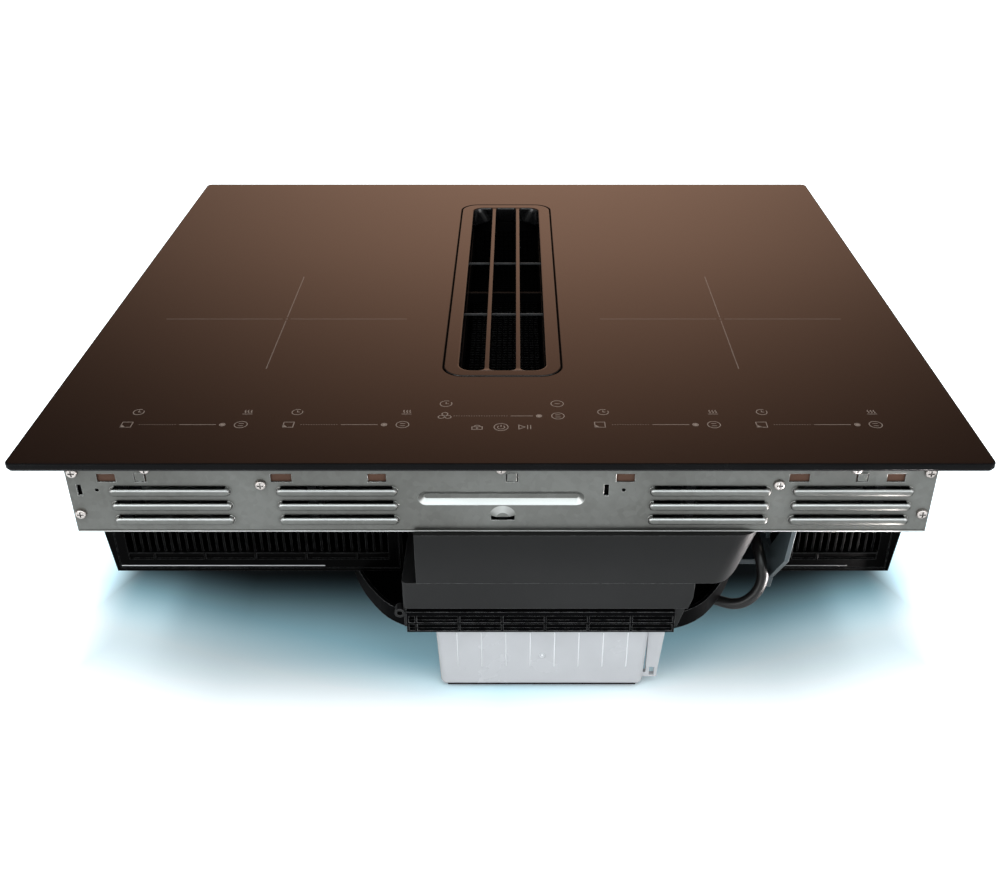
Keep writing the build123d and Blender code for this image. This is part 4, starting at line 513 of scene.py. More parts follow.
# name, colour, and then roughness, grain depth, dust, edge wear and highlight, gloss, paleness of edges,
# start height of the painted shade under the case
PLASTICS = {
    "seal_rubber": ((0.010, 0.010, 0.011), 0.6, 0.00005, 0.1, 0.1),
    "well_black": ((0.0022, 0.0022, 0.0024), 0.5, 0.00002, 0.0, 0.3, 0.03, 0.01),
    "filter_steel": ((0.0012, 0.0012, 0.0012), 0.7, 0.00004, 0.0, 0.1, 0.01, 0.0),
    "carrier_plastic": ((0.035, 0.035, 0.038), 0.5),
    "mica": ((0.42, 0.36, 0.26), 0.7, 0.00006, 0.1, 0.1),
    "board_green": ((0.012, 0.085, 0.030), 0.38, 0.00004, 0.3, 0.2),
    "fan_black": ((0.012, 0.012, 0.013), 0.45),
    "housing_grey": ((0.0150, 0.0147, 0.0150), 0.33, 0.00003, 0.02, 1.0, 0.28, 0.13, PAINTED_SHADE_START),
    "dish_black": ((0.0022, 0.0022, 0.0025), 0.35, 0.00002, 0.0, 1.0, 0.02, 0.3),
    "filter_black": ((0.0009, 0.0008, 0.0008), 0.3, 0.00002, 0.01, 1.0, 0.025, 0.09),
    "lead_rubber": ((0.012, 0.011, 0.011), 0.3, 0.00004, 0.02, 0.2, 0.5),
    "bracket_black": ((0.07, 0.09, 0.10), 0.3, 0.00003, 0.05, 1.0, 0.5, 0.3),
}
# darker colour, lighter colour and roughness
METALS = {
    "screw_steel": ((0.62, 0.56, 0.53), (0.82, 0.76, 0.73), 0.24),
    "spring_steel": ((0.45, 0.44, 0.43), (0.62, 0.61, 0.60), 0.28),
    "tray_aluminium": ((0.55, 0.56, 0.57), (0.72, 0.73, 0.74), 0.32),
    "motor_metal": ((0.30, 0.30, 0.31), (0.46, 0.46, 0.47), 0.36),
    "shaft_steel": ((0.55, 0.55, 0.55), (0.75, 0.75, 0.75), 0.2),
}
OTHERS = {"glass_ceramic": ceramic_glass, "vent_black": ceramic_glass, "case_steel": zinc_steel,
          "coil_copper": wound_copper, "carbon_foam": carbon_foam, "tank_clear": clear_plastic}


def finish_of(slot_name):
    """The material of a slot, built the first time that it is asked for."""
    key = "finish_" + slot_name
    if key not in bpy.data.materials:
        if slot_name in PLASTICS:
            made = moulded_plastic(slot_name, *PLASTICS[slot_name])
        elif slot_name in METALS:
            made = bare_metal(slot_name, *METALS[slot_name])
        else:
            made = OTHERS[slot_name]()
        made.name = key
    return bpy.data.materials[key]


# ---------------------------------------------------------------- sizes and colours
def colour_property(name, description, default):
    """A colour in the sidebar."""
    return bpy.props.FloatVectorProperty(name=name, description=description, subtype="COLOR", size=3,
                                         default=default)


def length_property(name, description, size_mm):
    """A length in the sidebar."""
    return bpy.props.FloatProperty(name=name, description=description, unit="LENGTH",
                                   default=size_mm * MM)


class CooktopLooks(bpy.types.PropertyGroup):
    """Sizes and colours of the cooktop's looks."""

    glass_colour: colour_property("Glass colour", "Body colour of the ceramic glass",
                                  (0.0078, 0.0044, 0.0033))
    print_colour: colour_property("Print colour", "Colour of the printed controls",
                                  (0.17, 0.135, 0.115))
    cross_colour: colour_property("Cross colour", "Colour of the cooking zone crosses",
                                  (0.085, 0.068, 0.059))
    tank_colour: colour_property("Tank colour", "Colour of the water tank's plastic",
                                 (0.575, 0.58, 0.60))
    stroke: length_property("Print stroke", "Width of the printed lines", 0.55)
    cross_x: length_property("Cross place", "Middle of a zone cross, from the glass's middle", 162)
    cross_setback: length_property("Cross setback", "Middle of a zone cross, behind the glass's front edge",
                                   204)
    cross_width: length_property("Cross width", "Span of a zone cross across the glass", 180)
    cross_depth: length_property("Cross depth", "Span of a zone cross from front to back", 162)
    bar_round: length_property("Bar rounding", "Rounding of the grille bars' upper edges", 0.7)
    bar_flare: length_property("Bar flare", "Fillet where a bar meets the grille's frame", 4.5)
    camera_height: length_property("Camera height", "Height of the camera over the set-down surface",
                                   564.2)
    camera_pitch: bpy.props.FloatProperty(
        name="Camera pitch", description="How far the camera looks down", subtype="ANGLE",
        default=math.radians(31.13))


# ---------------------------------------------------------------- glass
def glass_plate():
    """Glass plate with a ground bevel round its upper edge and round the vent's hole. Its rings
    are (width, length, radius, z), from the hole's upper edge down, under the plate and up
    round its outside."""
    size = GLASS_HIGH - GLASS_LOW
    z0, z1 = GLASS_LOW.z, GLASS_HIGH.z - PRINT_LIFT
    corner, bevel, small = 5 * MM, 1.1 * MM, 0.35 * MM
    vent = VENT_HIGH - VENT_LOW
    hole_w, hole_l, hole_r = vent.x + 2.5 * MM, vent.y + 2.5 * MM, 15.25 * MM
    inner = [(hole_w + 2 * out, hole_l + 2 * out, hole_r + out, z)
             for out, z in ((small + 0.8 * MM, z1), (small, z1), (0, z1 - small), (0, z0 + small),
                            (small, z0))]
    outer = [(size.x - 2 * small, size.y - 2 * small, corner - small, z0),
             (size.x, size.y, corner, z0 + small)]
    outer += arris(size.x, size.y, corner, z1, z1 - bevel, bevel, 4)
    flat = bevel + 0.8 * MM
    outer.append((size.x - 2 * flat, size.y - 2 * flat, corner - flat, z1))
    bm = bmesh.new()
    skin_rings(bm, [rounded_ring(0, VENT_MIDDLE, *ring) for ring in inner]
               + [rounded_ring(0, 0, *ring) for ring in outer])
    piece = new_piece("glass_plate", bm, "root", finish_of("glass_ceramic"))
    piece.data.materials.append(polished_edge())
    for face in piece.data.polygons:
        if face.center.z < z1 - 0.02 * MM:
            face.material_index = 1
    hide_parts("glass_top")


class COOKTOP_OT_glass(bpy.types.Operator):
    """Glass plate with its ground edge"""
    bl_idname = "cooktop.glass"
    bl_label = "Glass plate"

    def execute(self, context):
        glass_plate()
        return {"FINISHED"}


# ---------------------------------------------------------------- printed marks
class Print:
    """Flat marks that lie on the glass: strokes, dots and filled shapes."""

    def __init__(self, stroke):
        self.bm = bmesh.new()
        self.z = GLASS_HIGH.z
        self.half = stroke / 2

    def fill(self, points):
        self.bm.faces.new([self.bm.verts.new((x, y, self.z)) for x, y in points])

    def line(self, points, closed=False, half=None):
        """Mitred ribbon through the points."""
        half = half or self.half
        flat = [Vector(p) for p in points]
        count = len(flat)
        left, right = [], []
        for i, here in enumerate(flat):
            before = flat[i - 1] if i or closed else None
            after = flat[(i + 1) % count] if i < count - 1 or closed else None
            steps = [(here - before).normalized()] if before else []
            steps += [(after - here).normalized()] if after else []
            along = sum(steps, Vector((0, 0))).normalized()
            normal = Vector((-along.y, along.x))
            reach = half / max(0.4, abs(normal.dot(Vector((-steps[0].y, steps[0].x)))))
            left.append(self.bm.verts.new((*(here + normal * reach), self.z)))
            right.append(self.bm.verts.new((*(here - normal * reach), self.z)))
        for i in range(count if closed else count - 1):
            j = (i + 1) % count
            self.bm.faces.new((right[i], right[j], left[j], left[i]))

    def arc(self, x, y, radius, start=0, end=360, steps=28, half=None):
        full = abs(end - start) >= 360
        span = steps if full else steps + 1
        angles = [math.radians(start + (end - start) * i / steps) for i in range(span)]
        self.line([(x + radius * math.cos(a), y + radius * math.sin(a)) for a in angles], full, half)

    def dot(self, x, y, radius, steps=12):
        angles = [2 * math.pi * i / steps for i in range(steps)]
        self.fill([(x + radius * math.cos(a), y + radius * math.sin(a)) for a in angles])


def clock_mark(ink, x, y, r):
    ink.arc(x, y, r, 60, 390)
    ink.line([(x, y + 0.6 * r), (x, y), (x + 0.45 * r, y)])


def steam_mark(ink, x, y, r):
    ink.line([(x - r, y - 0.8 * r), (x + r, y - 0.8 * r)])
    for i in (-1, 0, 1):
        cx = x + 0.6 * r * i
        ink.line([(cx, y - 0.4 * r), (cx + 0.2 * r, y), (cx - 0.1 * r, y + 0.35 * r),
                  (cx + 0.1 * r, y + 0.8 * r)])


def pan_mark(ink, x, y, r):
    """Square with a filled corner."""
    ink.line([(x - r, y - r), (x + r, y - r), (x + r, y + r), (x - r, y + r)], True)
    ink.fill([(x - r, y - r), (x, y - r), (x - r, y)])


def ring_mark(ink, x, y, r, bars):
    """Ring with one or two short bars in it."""
    ink.arc(x, y, r)
    for i in range(bars):
        cy = y + (i - (bars - 1) / 2) * 0.7 * r
        ink.line([(x - 0.4 * r, cy), (x + 0.4 * r, cy)])


def slider_mark(ink, x0, x1, y, solid_from):
    """Slider track: dots that turn into a solid line, and a round end."""
    step = 1.6 * MM
    count = int((solid_from - x0) / step)
    for i in range(count):
        ink.dot(x0 + i * step, y, 0.34 * MM, 8)
    ink.line([(solid_from, y), (x1, y)])
    ink.dot(x1 + 4 * MM, y, 1.2 * MM)
    ink.arc(x1 + 4 * MM, y, 1.7 * MM, steps=16)


def lock_mark(ink, x, y, r):
    ink.line([(x - r, y - 0.9 * r), (x + r, y - 0.9 * r), (x + r, y + 0.1 * r),
              (x - r, y + 0.1 * r)], True)
    ink.arc(x, y + 0.1 * r, 0.6 * r, 0, 180, 12)
    ink.dot(x, y - 0.4 * r, 0.22 * r, 8)


def power_mark(ink, x, y, r):
    ink.arc(x, y, r)
    ink.arc(x, y - 0.05 * r, 0.5 * r, 130, 410, 16)
    ink.line([(x, y + 0.05 * r), (x, y + 0.62 * r)])


def pause_mark(ink, x, y, r):
    ink.line([(x - 1.2 * r, y - 0.8 * r), (x - 1.2 * r, y + 0.8 * r), (x, y)], True)
    for dx in (0.5 * r, 1.1 * r):
        ink.line([(x + dx, y - 0.8 * r), (x + dx, y + 0.8 * r)])


def fan_mark(ink, x, y, r):
    ink.dot(x, y, 0.22 * r, 8)
    for i in range(3):
        a = math.radians(90 + 120 * i)
        ink.arc(x + 0.55 * r * math.cos(a), y + 0.55 * r * math.sin(a), 0.42 * r, steps=12)


def control_print(looks):
    """Printed touch fields: four cooking zones and the fan and main fields between them."""
    ink = Print(looks.stroke)
    row = [FRONT + s * MM for s in (44, 47, 58, 63, 74)]
    r = 4.0 * MM
    for left in (-235, -133.5, 62, 163.5):
        x = left * MM
        pan_mark(ink, x, row[1], 0.8 * r)
        slider_mark(ink, x + 8 * MM, x + 56 * MM, row[1], x + 33 * MM)
        ring_mark(ink, x + 71.6 * MM, row[1], r, 2)
        clock_mark(ink, x + 3 * MM, row[3], 0.85 * r)
        steam_mark(ink, x + 73 * MM, row[3], 0.8 * r)
    clock_mark(ink, -36 * MM, row[4], 0.95 * r)
    ring_mark(ink, 36 * MM, row[4], r, 1)
    fan_mark(ink, -36 * MM, row[2], 1.15 * r)
    slider_mark(ink, -30 * MM, 20 * MM, row[2], 6 * MM)
    ring_mark(ink, 36 * MM, row[2], r, 2)
    lock_mark(ink, -15 * MM, row[0], 0.8 * r)
    power_mark(ink, 0, row[0], 1.1 * r)
    pause_mark(ink, 15 * MM, row[0], 0.8 * r)
    new_piece("control_print", ink.bm, "root",
              printed_ink("control_ink", looks.print_colour))


def zone_crosses(looks):
    """One cross for each side's pair of coils, open round its middle dot."""
    ink = Print(0.8 * MM)
    y = FRONT + looks.cross_setback
    gap = 3 * MM
    for side in (-1, 1):
        x = side * looks.cross_x
        for dx, dy in ((1, 0), (-1, 0), (0, 1), (0, -1)):
            reach = looks.cross_width / 2 if dx else looks.cross_depth / 2
            ink.line([(x + dx * gap, y + dy * gap), (x + dx * reach, y + dy * reach)])
        ink.dot(x, y, 0.9 * MM)
    new_piece("zone_crosses", ink.bm, "root",
              printed_ink("cross_ink", looks.cross_colour))


class COOKTOP_OT_print(bpy.types.Operator):
    """Printed controls and zone crosses"""
    bl_idname = "cooktop.print"
    bl_label = "Printed marks"

    def execute(self, context):
        control_print(scene_sizes())
        zone_crosses(scene_sizes())
        return {"FINISHED"}


# ---------------------------------------------------------------- vent grille
def grille_frame(bm):
    """Flat rim with rounded edges, and the skirt under it."""
    size = VENT_HIGH - VENT_LOW
    z1, z_rim, z0 = VENT_HIGH.z, GLASS_LOW.z, VENT_LOW.z
    skirt, r, edge = 1.6 * MM, 14 * MM, 0.5 * MM
    open_w, open_l, open_r = size.x - 2 * GRILLE_RIM, size.y - 2 * GRILLE_RIM_END, 9 * MM
    outside = (open_w + 2 * skirt, open_l + 2 * skirt, open_r + skirt)
    rings = [(open_w, open_l, SKIRT_CORNER, z0), (*outside, z0), (*outside, z_rim),
             (size.x, size.y, r, z_rim)]
    rings += arris(size.x, size.y, r, z1, z1 - edge, edge)
    lip, flat = 1.2 * MM, 0.5 * MM
    rings += [(size.x - 2 * (edge + flat), size.y - 2 * (edge + flat), r - edge - flat, z1),
              (open_w + 2 * (lip + flat), open_l + 2 * (lip + flat), open_r + lip + flat, z1)]
    for i in range(5):
        a = math.radians(90 * i / 4)
        out = lip * (1 - math.sin(a))
        rings.append((open_w + 2 * out, open_l + 2 * out, open_r + out, z1 - lip * (1 - math.cos(a))))
    skin_rings(bm, [rounded_ring(0, VENT_MIDDLE, *ring) for ring in rings])


def grille_bar(bm, x, looks):
    """Long bar with a rounded back, flared where it meets the frame."""
    low, high = VENT_LOW.y + GRILLE_RIM_END, VENT_HIGH.y - GRILLE_RIM_END
    half, z1 = 1.6 * MM, VENT_HIGH.z
    depth, flare, edge = 11.5 * MM, looks.bar_flare, looks.bar_round
    foot_flare = 1.7 * flare
    places = []
    for i in range(8):
        d = foot_flare * i / 7
        rise = [half + r - math.sqrt(max(0, r ** 2 - max(0, r - d) ** 2)) for r in (flare, foot_flare)]
        places.append((low - 0.8 * MM + d, *rise))
    rings = []
    for y, wide, foot in places + [(low + high - y, wide, foot) for y, wide, foot in reversed(places)]:
        profile = [(-foot, z1 - depth), (foot, z1 - depth), (wide, z1 - edge)]
        back = [(edge * (1 - math.cos(math.radians(a))), z1 - edge * (1 - math.sin(math.radians(a))))
                for a in (30, 60)]
        profile += [(wide - inset, z) for inset, z in back]
        profile += [(wide - edge, z1), (-wide + edge, z1)]
        profile += [(-wide + inset, z) for inset, z in reversed(back)]
        profile += [(-wide, z1 - edge)]
        rings.append([(x + px, y, pz) for px, pz in profile])
    skin_rings(bm, rings, closed=False)


def grille_rib(bm, y):
    """Thin cross rib under the bars, half round on top."""
    wide, half, z0 = 30.5 * MM, 0.45 * MM, VENT_LOW.z
    profile = [(-half, z0), (half, z0), (half, z0 + 1.4 * MM), (0.5 * half, z0 + 1.9 * MM),
               (-0.5 * half, z0 + 1.9 * MM), (-half, z0 + 1.4 * MM)]
    skin_rings(bm, [[(x, y + py, pz) for py, pz in profile] for x in (-wide, wide)], closed=False)


class COOKTOP_OT_grille(bpy.types.Operator):
    """Vent grille with flared bars and thin cross ribs"""
    bl_idname = "cooktop.grille"
    bl_label = "Vent grille"

    def execute(self, context):
        looks = scene_sizes()
        bm = bmesh.new()
        grille_frame(bm)
        ribs = bmesh.new()
        for side in (-1, 1):
            grille_bar(bm, side * 10.8 * MM, looks)
            grille_rib(ribs, VENT_MIDDLE + 5 * MM + side * 52 * MM)
        piece = new_piece("grille_casting", bm, "grille", finish_of("vent_black"))
        piece.data.materials.append(
            moulded_plastic("grille_sides", (0.003, 0.003, 0.0033), 0.12, 0.00001, 0.0, 0.4, 0.8, 0.05))
        for face in piece.data.polygons:
            face.material_index = 0 if face.normal.z > 0.8 else 1
        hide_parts("vent_grille")
        dull = moulded_plastic("rib_grey", (0.042, 0.042, 0.044), 0.5)
        new_piece("grille_ribs", ribs, "grille", dull)
        return {"FINISHED"}


# ---------------------------------------------------------------- grease filter mesh
class COOKTOP_OT_filter_mesh(bpy.types.Operator):
    """Wire lattice of the grease filter's trough"""
    bl_idname = "cooktop.filter_mesh"
    bl_label = "Filter mesh"

    def execute(self, context):
        low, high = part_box("filter_mesh")
        cell, inset = 4.5 * MM, 0.5 * MM
        counts = [max(2, round(side / cell)) for side in high - low]
        columns, rows, tiers = counts
        bm = bmesh.new()
        at = {}

        def corner(*key):
            if key not in at:
                at[key] = bm.verts.new([start + inset + (end - start - 2 * inset) * i / count
                                        for start, end, i, count in zip(low, high, key, counts)])
            return at[key]

        def sheet(make, first, second):
            for a in range(first):
                for b in range(second):
                    bm.faces.new((make(a, b), make(a + 1, b), make(a + 1, b + 1), make(a, b + 1)))

        sheet(lambda a, b: corner(a, b, 0), columns, rows)
        for j in (0, rows):
            sheet(lambda a, b, j=j: corner(a, j, b), columns, tiers)
        for i in (0, columns):
            sheet(lambda a, b, i=i: corner(i, a, b), rows, tiers)
        piece = new_piece("filter_lattice", bm, "grease_filter", finish_of("filter_steel"))
        wires = piece.modifiers.new("wires", "WIREFRAME")
        wires.thickness = 1.1 * MM
        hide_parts("filter_mesh")
        return {"FINISHED"}


# ---------------------------------------------------------------- fan lead
# the route, from the case's grommet to the junction box, in millimetres
LEAD_POINTS = ((179.5, -110, 135), (179.5, -110, 116), (179.0, -133, 100), (179.0, -160, 94),
               (181.0, -184, 89), (185.5, -193, 68), (170.0, -198, 51), (148.0, -184, 48.5),
               (134.0, -163, 46.5), (134.0, -143, 46.5))
LEAD_DIAMETER = 8 * MM


class COOKTOP_OT_lead(bpy.types.Operator):
    """Fan lead that loops from the case to the motor's junction box"""
    bl_idname = "cooktop.lead"
    bl_label = "Fan lead"

    def execute(self, context):
        curve = bpy.data.curves.new("fan_lead_sheath", "CURVE")
        curve.dimensions = "3D"
        spline = curve.splines.new("NURBS")
        spline.points.add(len(LEAD_POINTS) - 1)
        for point, place_mm in zip(spline.points, LEAD_POINTS):
            point.co = (*[c * MM for c in place_mm], 1)
        spline.order_u = 3
        spline.use_endpoint_u = True
        spline.resolution_u = 12
        curve.bevel_depth = LEAD_DIAMETER / 2
        curve.bevel_resolution = 6
        curve.use_fill_caps = True
        piece = linked("fan_lead_sheath", curve)
        curve.materials.append(finish_of("lead_rubber"))
        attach(piece, "root")
        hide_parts("fan_lead")
        return {"FINISHED"}


# ---------------------------------------------------------------- small pieces of the case and tank
def bead(bm, first, last, radius, sides=10):
    """Round bead with domed ends between two points."""
    first, last = Vector(first), Vector(last)
    along = (last - first).normalized()
    across = along.orthogonal().normalized()
    other = along.cross(across)
    rings = []
    for start, way in ((first, 1), (last, -1)):
        for degrees in (20, 50, 90)[::way]:
            a = math.radians(degrees)
            size = radius * math.sin(a)
            middle = start + along * way * radius * (1 - math.cos(a))
            rings.append([middle + across * size * math.cos(t) + other * size * math.sin(t)
                          for t in (2 * math.pi * i / sides for i in range(sides))])
    skin_rings(bm, rings, closed=False)


def rounded_plate(bm, low, high, radius):
    """Upright plate with rounded corners, facing the front."""
    width, height = high[0] - low[0], high[2] - low[2]
    x, z = (low[0] + high[0]) / 2, (low[2] + high[2]) / 2
    rings = []
    for inset, y in ((radius / 2, low[1]), (0, low[1] + radius / 2), (0, high[1])):
        ring = rounded_ring(x, z, width - 2 * inset, height - 2 * inset, radius - inset / 2, 0)
        rings.append([(px, y, pz) for px, pz, _ in ring])
    skin_rings(bm, rings, closed=False)


class COOKTOP_OT_small_pieces(bpy.types.Operator):
    """Front panel's hem bead in lighter steel as a painted highlight line, its window strips, dark sheets
    behind its slots as painted shade, beads on the tank, and light beads on the cassettes as a painted
    highlight line
    """
    bl_idname = "cooktop.small_pieces"
    bl_label = "Small pieces"

    def execute(self, context):
        # Bead along the panel's lower hem, in steel much lighter than the panel: a painted highlight line.
        bm = bmesh.new()
        y, z = PANEL_FACE - 0.3 * MM, CASE_FOOT + 0.5 * MM
        bead(bm, (-274.5 * MM, y, z), (274.5 * MM, y, z), 0.5 * MM)
        new_piece("panel_hem", bm, "root",
                  bare_metal("hem_highlight_steel", (0.6, 0.6, 0.59), (0.8, 0.8, 0.79), 0.4))

        bm = bmesh.new()
        y, z = PANEL_FACE + SHEET + 0.3 * MM, GLASS_HIGH.z
        for low, high in ((-260, -60), (60, 262)):
            rounded_plate(bm, (low * MM, y, z - 36 * MM), (high * MM, y + 0.6 * MM, z - 26 * MM), 0.4 * MM)
        new_piece("window_strip", bm, "root",
                  moulded_plastic("window_brown", (0.125, 0.067, 0.047), 0.6, 0.00003, 0.0, 0.3, 0.1))

        # Dark sheets just behind the panel's two slots: painted shade, so that the slots look dark inside.
        bm = bmesh.new()
        y, z = PANEL_FACE + 2 * SHEET + 0.2 * MM, GLASS_LOW.z - 36 * MM
        for x in (-268 * MM, 66.8 * MM):
            rounded_plate(bm, (x - 4 * MM, y, z - 7 * MM), (x + 4 * MM, y + 0.8 * MM, z + 7 * MM), 0.4 * MM)
        new_piece("slot_shade_sheets", bm, "root", finish_of("filter_black"))

        low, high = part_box("water_tank")

        def tank_front(z):
            return low.y + TANK_LEAN * (high.z - z) / (high.z - low.z)

        bm = bmesh.new()
        top, foot = 52 * MM, 19.5 * MM
        for i in range(8):
            x = TANK_MIDDLE + (i - 3.5) * 16.9 * MM
            bead(bm, (x, tank_front(top), top), (x, tank_front(foot), foot), 0.45 * MM)
        z = 30.5 * MM
        y = tank_front(z)
        bead(bm, (TANK_MIDDLE, y - 0.35 * MM, z), (TANK_MIDDLE, y + 1.2 * MM, z), 1.9 * MM, 20)
        new_piece("tank_beads", bm, "tank",
                  moulded_plastic("bead_white", (0.84, 0.85, 0.87), 0.3, 0.00002, 0.0, 0.2))

        bm = bmesh.new()
        z = low.z + 1.6 * MM
        y = tank_front(z) + 0.1 * MM
        bead(bm, (TANK_MIDDLE - 67 * MM, y, z), (TANK_MIDDLE + 67 * MM, y, z), 0.45 * MM)
        new_piece("tank_foot_bead", bm, "tank", finish_of("filter_black"))

        # Thin beads along the cassettes' lower lips, light grey on the left and darker on the right: a
        # painted highlight line.
        y, z = -180.1 * MM, 74.4 * MM
        for name, start, end, grey in (("left", -272.5, -127, 0.85), ("right", 200, 246, 0.25)):
            bm = bmesh.new()
            bead(bm, (start * MM, y, z), (end * MM, y, z), 0.3 * MM)
            new_piece("painted_highlight_bead_" + name, bm, "cassette_" + name,
                      moulded_plastic("painted_highlight_grey_" + name, (grey, grey, grey), 0.3))
        return {"FINISHED"}


# ---------------------------------------------------------------- finishes of the other pieces
class COOKTOP_OT_finishes(bpy.types.Operator):
    """Give every other piece the finish of its slot"""
    bl_idname = "cooktop.finishes"
    bl_label = "Finishes"

    def execute(self, context):
        for entry in frame["record"]["subparts"]:
            piece = frame["nodes"][entry["node"]]
            piece.data.materials.clear()
            piece.data.materials.append(finish_of(entry["material_slot"]))
        return {"FINISHED"}


# ---------------------------------------------------------------- stage
def pale_world():
    """White for the camera and through clear plastic, cool as a light, and dim in reflections."""
    world = bpy.data.worlds.new("pale_room")
    bpy.context.scene.world = world
    world.use_nodes = True
    tree = world.node_tree
    path = tree.nodes.new("ShaderNodeLightPath")
    clear = maths(tree, "MAXIMUM", path.outputs["Is Camera Ray"], path.outputs["Is Transmission Ray"])
    cool = fixed(tree.nodes["Background"], Color=(0.90, 0.97, 1.0, 1), Strength=0.95)
    dim = node(tree, "ShaderNodeBackground", Color=(1.0, 0.99, 0.98, 1), Strength=0.3)
    white = node(tree, "ShaderNodeBackground", Color=(1, 1, 1, 1), Strength=1.0)
    shown = blend(tree, path.outputs["Is Glossy Ray"], cool.outputs[0], dim.outputs[0])
    shown = blend(tree, clear, shown, white.outputs[0])
    tree.links.new(shown, tree.nodes["World Output"].inputs["Surface"])


def square(name, half_size, place_m, tilt=0.0):
    """Flat square of the stage, with an empty material."""
    bm = bmesh.new()
    bmesh.ops.create_grid(bm, x_segments=1, y_segments=1, size=1)
    mesh = bpy.data.meshes.new(name)
    bm.to_mesh(mesh)
    bm.free()
    made = linked(name, mesh)
    made.scale = (*half_size, 1)
    made.rotation_euler = (math.radians(tilt), 0, 0)
    made.location = place_m
    mat, tree, shader = material(name)
    mesh.materials.append(mat)
    return made, tree, shader


def pale_floor():
    """Floor: white round the appliance, with a painted cool tint and a deep painted shadow under it, and
    clear from below. Light that comes off it is neutral but keeps the painted shadow, so that its tint shows
    only to the camera."""
    floor, tree, shader = square("pale_floor", (8, 8), (0, 0, CAD_LOW.z))
    fixed(shader, Roughness=0.9, Specular_IOR_Level=0.1)
    at = parts_of(tree, geometry(tree, "Position"))
    side = maths(tree, "ABSOLUTE", at["X"])
    along = maths(tree, "ABSOLUTE", maths(tree, "SUBTRACT", at["Y"], 0.08))

    def highest(first, second):
        return maths(tree, "MAXIMUM", first, second)

    # the distances at which the painted tint ends, the painted shadow ends and the glow starts, in metres
    diagonal = maths(tree, "ADD", along, maths(tree, "MULTIPLY", side, 0.37))
    pale = highest(spread(tree, diagonal, 0, 1, 0.301, 0.351), spread(tree, at["Y"], 0, 1, -0.05, 0.1))
    along = maths(tree, "ADD", along, spread(tree, side, 0, 0.03, 0.2, 0.35))
    outside_painted_shadow = highest(spread(tree, side, 0, 1, 0.29, 0.325, smooth=True),
                         spread(tree, along, 0, 1, 0.172, 0.256, smooth=True))
    glow = highest(spread(tree, side, 0, 0.9, 0.29, 0.36, smooth=True),
                   spread(tree, along, 0, 0.9, 0.27, 0.39, smooth=True))
    # The base colour is painted: a cool tint near the appliance and a deep painted shadow round and under
    # it.
    painted_cool_tint = cover(tree, pale, (0.52, 0.87, 1.0), (0.82, 0.94, 0.98))
    tree.links.new(cover(tree, outside_painted_shadow, (0.010, 0.015, 0.018), painted_cool_tint), shader.inputs["Base Color"])
    emission = node(tree, "ShaderNodeEmission", Color=(1.0, 0.9, 0.88, 1))
    tree.links.new(glow, emission.inputs["Strength"])
    seen = tree.nodes.new("ShaderNodeAddShader")
    tree.links.new(shader.outputs[0], seen.inputs[0])
    tree.links.new(emission.outputs[0], seen.inputs[1])
    # Other rays see a neutral floor with the same painted shadow.
    plain = node(tree, "ShaderNodeBsdfDiffuse")
    tree.links.new(cover(tree, outside_painted_shadow, (0.012, 0.012, 0.012), (0.78, 0.78, 0.78)), plain.inputs["Color"])
    path = tree.nodes.new("ShaderNodeLightPath")
    above = blend(tree, path.outputs["Is Camera Ray"], plain.outputs[0], seen.outputs[0])
    clear = node(tree, "ShaderNodeBsdfTransparent")
    tree.links.new(blend(tree, geometry(tree, "Backfacing"), above, clear.outputs[0]),
                   tree.nodes["Material Output"].inputs["Surface"])


def reflection_card(name, half_size, place_m, tilt, colour, strength):
    """Glowing card that only reflections see; returns its tree and its emission."""
    card, tree, shader = square(name, half_size, place_m, tilt)
    tree.nodes.remove(shader)
    emission = node(tree, "ShaderNodeEmission", Color=(*colour, 1), Strength=strength)
    tree.links.new(emission.outputs[0], tree.nodes["Material Output"].inputs["Surface"])
    card.visible_camera = card.visible_diffuse = False
    card.visible_transmission = card.visible_shadow = False
    return tree, emission


def warm_card():
    """Warm card behind the appliance; it fades upwards and outwards."""
    tree, emission = reflection_card("warm_card", (3.0, 1.3), (0, 1.7, 1.55), 90, (1.0, 0.62, 0.44), 1.0)
    at = parts_of(tree, object_place(tree))
    up = spread(tree, at["Y"], 1.03, 0.0, -0.54, 0.103)
    off = maths(tree, "SUBTRACT", at["X"], 0.027)
    fade = maths(tree, "EXPONENT", maths(tree, "MULTIPLY", maths(tree, "MULTIPLY", off, off), -8.0))
    tree.links.new(maths(tree, "MULTIPLY", up, fade), emission.inputs["Strength"])


def low_right_card():
    """Card on the floor at the right that the fan housing and its lead reflect. Surfaces further
    to the right find it dark: it works out where each ray came from."""
    strength = 30.0
    tree, emission = reflection_card("low_right_card", (0.18, 0.17), (0.48, -0.13, 0.003), 0,
                                     (1.0, 0.93, 0.92), strength)
    source = tree.nodes.new("ShaderNodeVectorMath")
    source.operation = "MULTIPLY_ADD"
    surface = tree.nodes.new("ShaderNodeNewGeometry")
    path = tree.nodes.new("ShaderNodeLightPath")
    for socket, value in zip(source.inputs, (surface.outputs["Incoming"], path.outputs["Ray Length"],
                                             surface.outputs["Position"])):
        tree.links.new(value, socket)
    fade = spread(tree, parts_of(tree, source.outputs["Vector"])["X"], strength, 0.0, 0.25, 0.26)
    tree.links.new(fade, emission.inputs["Strength"])


def soft_light(name, place_m, aim_m, size, power):
    """Large rectangular lamp that faces a point."""
    lamp = bpy.data.lights.new(name, "AREA")
    lamp.shape = "RECTANGLE"
    lamp.size, lamp.size_y = size
    lamp.energy = power
    made = linked(name, lamp)
    made.location = place_m
    made.rotation_mode = "QUATERNION"
    made.rotation_quaternion = (Vector(aim_m) - Vector(place_m)).to_track_quat("-Z", "Y")
    return made


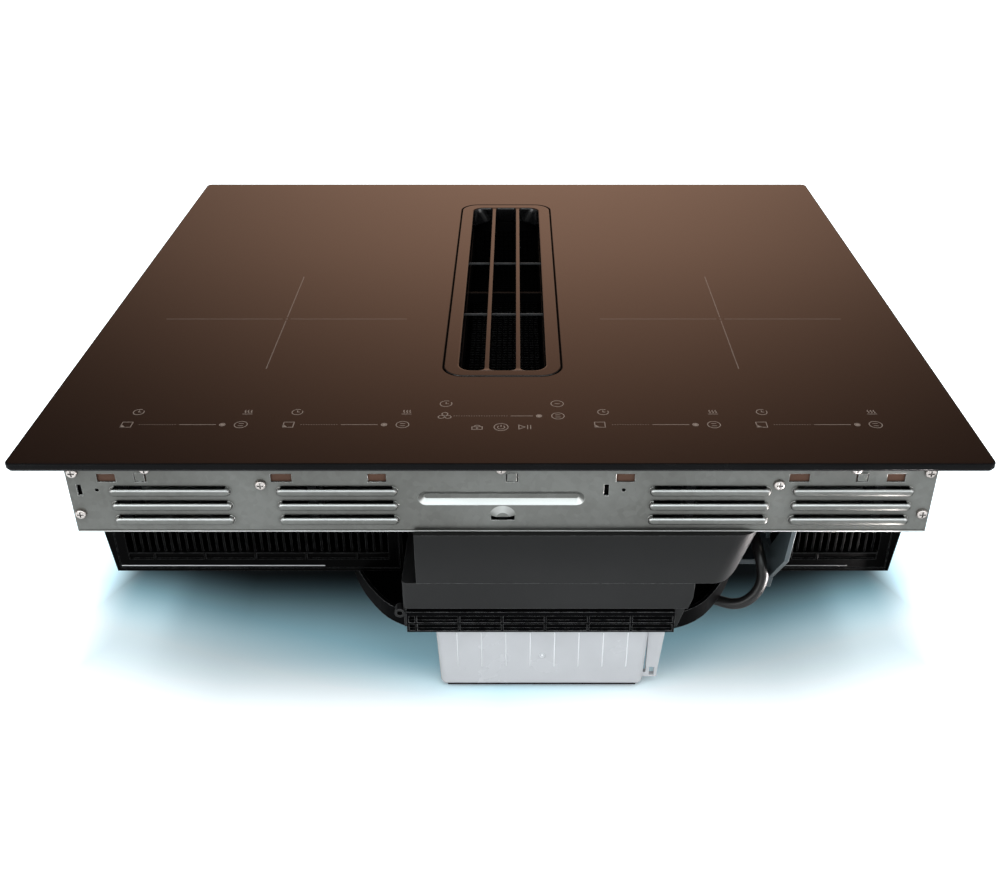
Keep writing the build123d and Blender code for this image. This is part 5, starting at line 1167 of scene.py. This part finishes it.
def set_camera(looks):
    """Camera at the photograph's height, distance and pitch, with its lens and shift."""
    camera = bpy.data.cameras.new("camera")
    camera.sensor_width = 36
    camera.lens = 40.43
    camera.shift_x = -0.0161
    made = linked("camera", camera)
    made.location = (9.4 * MM, -822.4 * MM, looks.camera_height)
    made.rotation_euler = (math.pi / 2 - looks.camera_pitch, 0, 0)
    bpy.context.scene.camera = made


class COOKTOP_OT_stage(bpy.types.Operator):
    """Camera, floor, world and lamps"""
    bl_idname = "cooktop.stage"
    bl_label = "Stage"

    def execute(self, context):
        context.scene.view_settings.view_transform = "Standard"
        set_camera(scene_sizes())
        pale_world()
        pale_floor()
        warm_card()
        reflection_card("front_card", (2.4, 0.85), (0, -2.4, 1.95), 60, (0.92, 0.99, 1.0), 2.2)
        low_right_card()
        top = soft_light("overhead", (0.0, -0.1, 2.4), (0, 0, 0), (2.6, 2.2), 34)
        soft_light("left_front", (-1.8, -1.7, 0.9), (0, 0, 0.1), (1.2, 1.4), 10)
        soft_light("right_front", (1.9, -1.5, 0.8), (0, 0, 0.1), (1.2, 1.4), 9)
        rear = soft_light("rear_fill", (0.3, 2.4, 1.2), (0, 0, 0.1), (2.0, 1.2), 8)
        top.visible_glossy = rear.visible_glossy = False
        return {"FINISHED"}


class COOKTOP_OT_shared_effects(bpy.types.Operator):
    """Shader groups that several finishes use"""
    bl_idname = "cooktop.shared_effects"
    bl_label = "Shared effects"

    def execute(self, context):
        for build in (build_moulded_grain, build_edge_wear_and_highlight, build_soft_edge, build_recess_shade,
                      build_zinc_skin, build_settled_dust):
            build()
        return {"FINISHED"}


class COOKTOP_PT_sidebar(bpy.types.Panel):
    """Sidebar panel with the sizes, colours and steps"""
    bl_label = "Cooktop"
    bl_idname = "COOKTOP_PT_sidebar"
    bl_space_type = "VIEW_3D"
    bl_region_type = "UI"
    bl_category = "Cooktop"

    def draw(self, context):
        looks = context.scene.cooktop_looks
        for name in CooktopLooks.__annotations__:
            self.layout.prop(looks, name)
        for step in OPERATORS:
            self.layout.operator(step.bl_idname)


OPERATORS = (COOKTOP_OT_shared_effects, COOKTOP_OT_stage, COOKTOP_OT_lead, COOKTOP_OT_finishes,
             COOKTOP_OT_glass, COOKTOP_OT_print, COOKTOP_OT_grille, COOKTOP_OT_filter_mesh,
             COOKTOP_OT_small_pieces)
CLASSES = (CooktopLooks, *OPERATORS, COOKTOP_PT_sidebar)


def register():
    for cls in CLASSES:
        bpy.utils.register_class(cls)
    bpy.types.Scene.cooktop_looks = bpy.props.PointerProperty(type=CooktopLooks)


def unregister():
    del bpy.types.Scene.cooktop_looks
    for cls in reversed(CLASSES):
        bpy.utils.unregister_class(cls)


def main():
    register()
    for step in OPERATORS:
        family, name = step.bl_idname.split(".")
        getattr(getattr(bpy.ops, family), name)()
    bpy.context.view_layer.update()


if __name__ == "__main__":
    main()
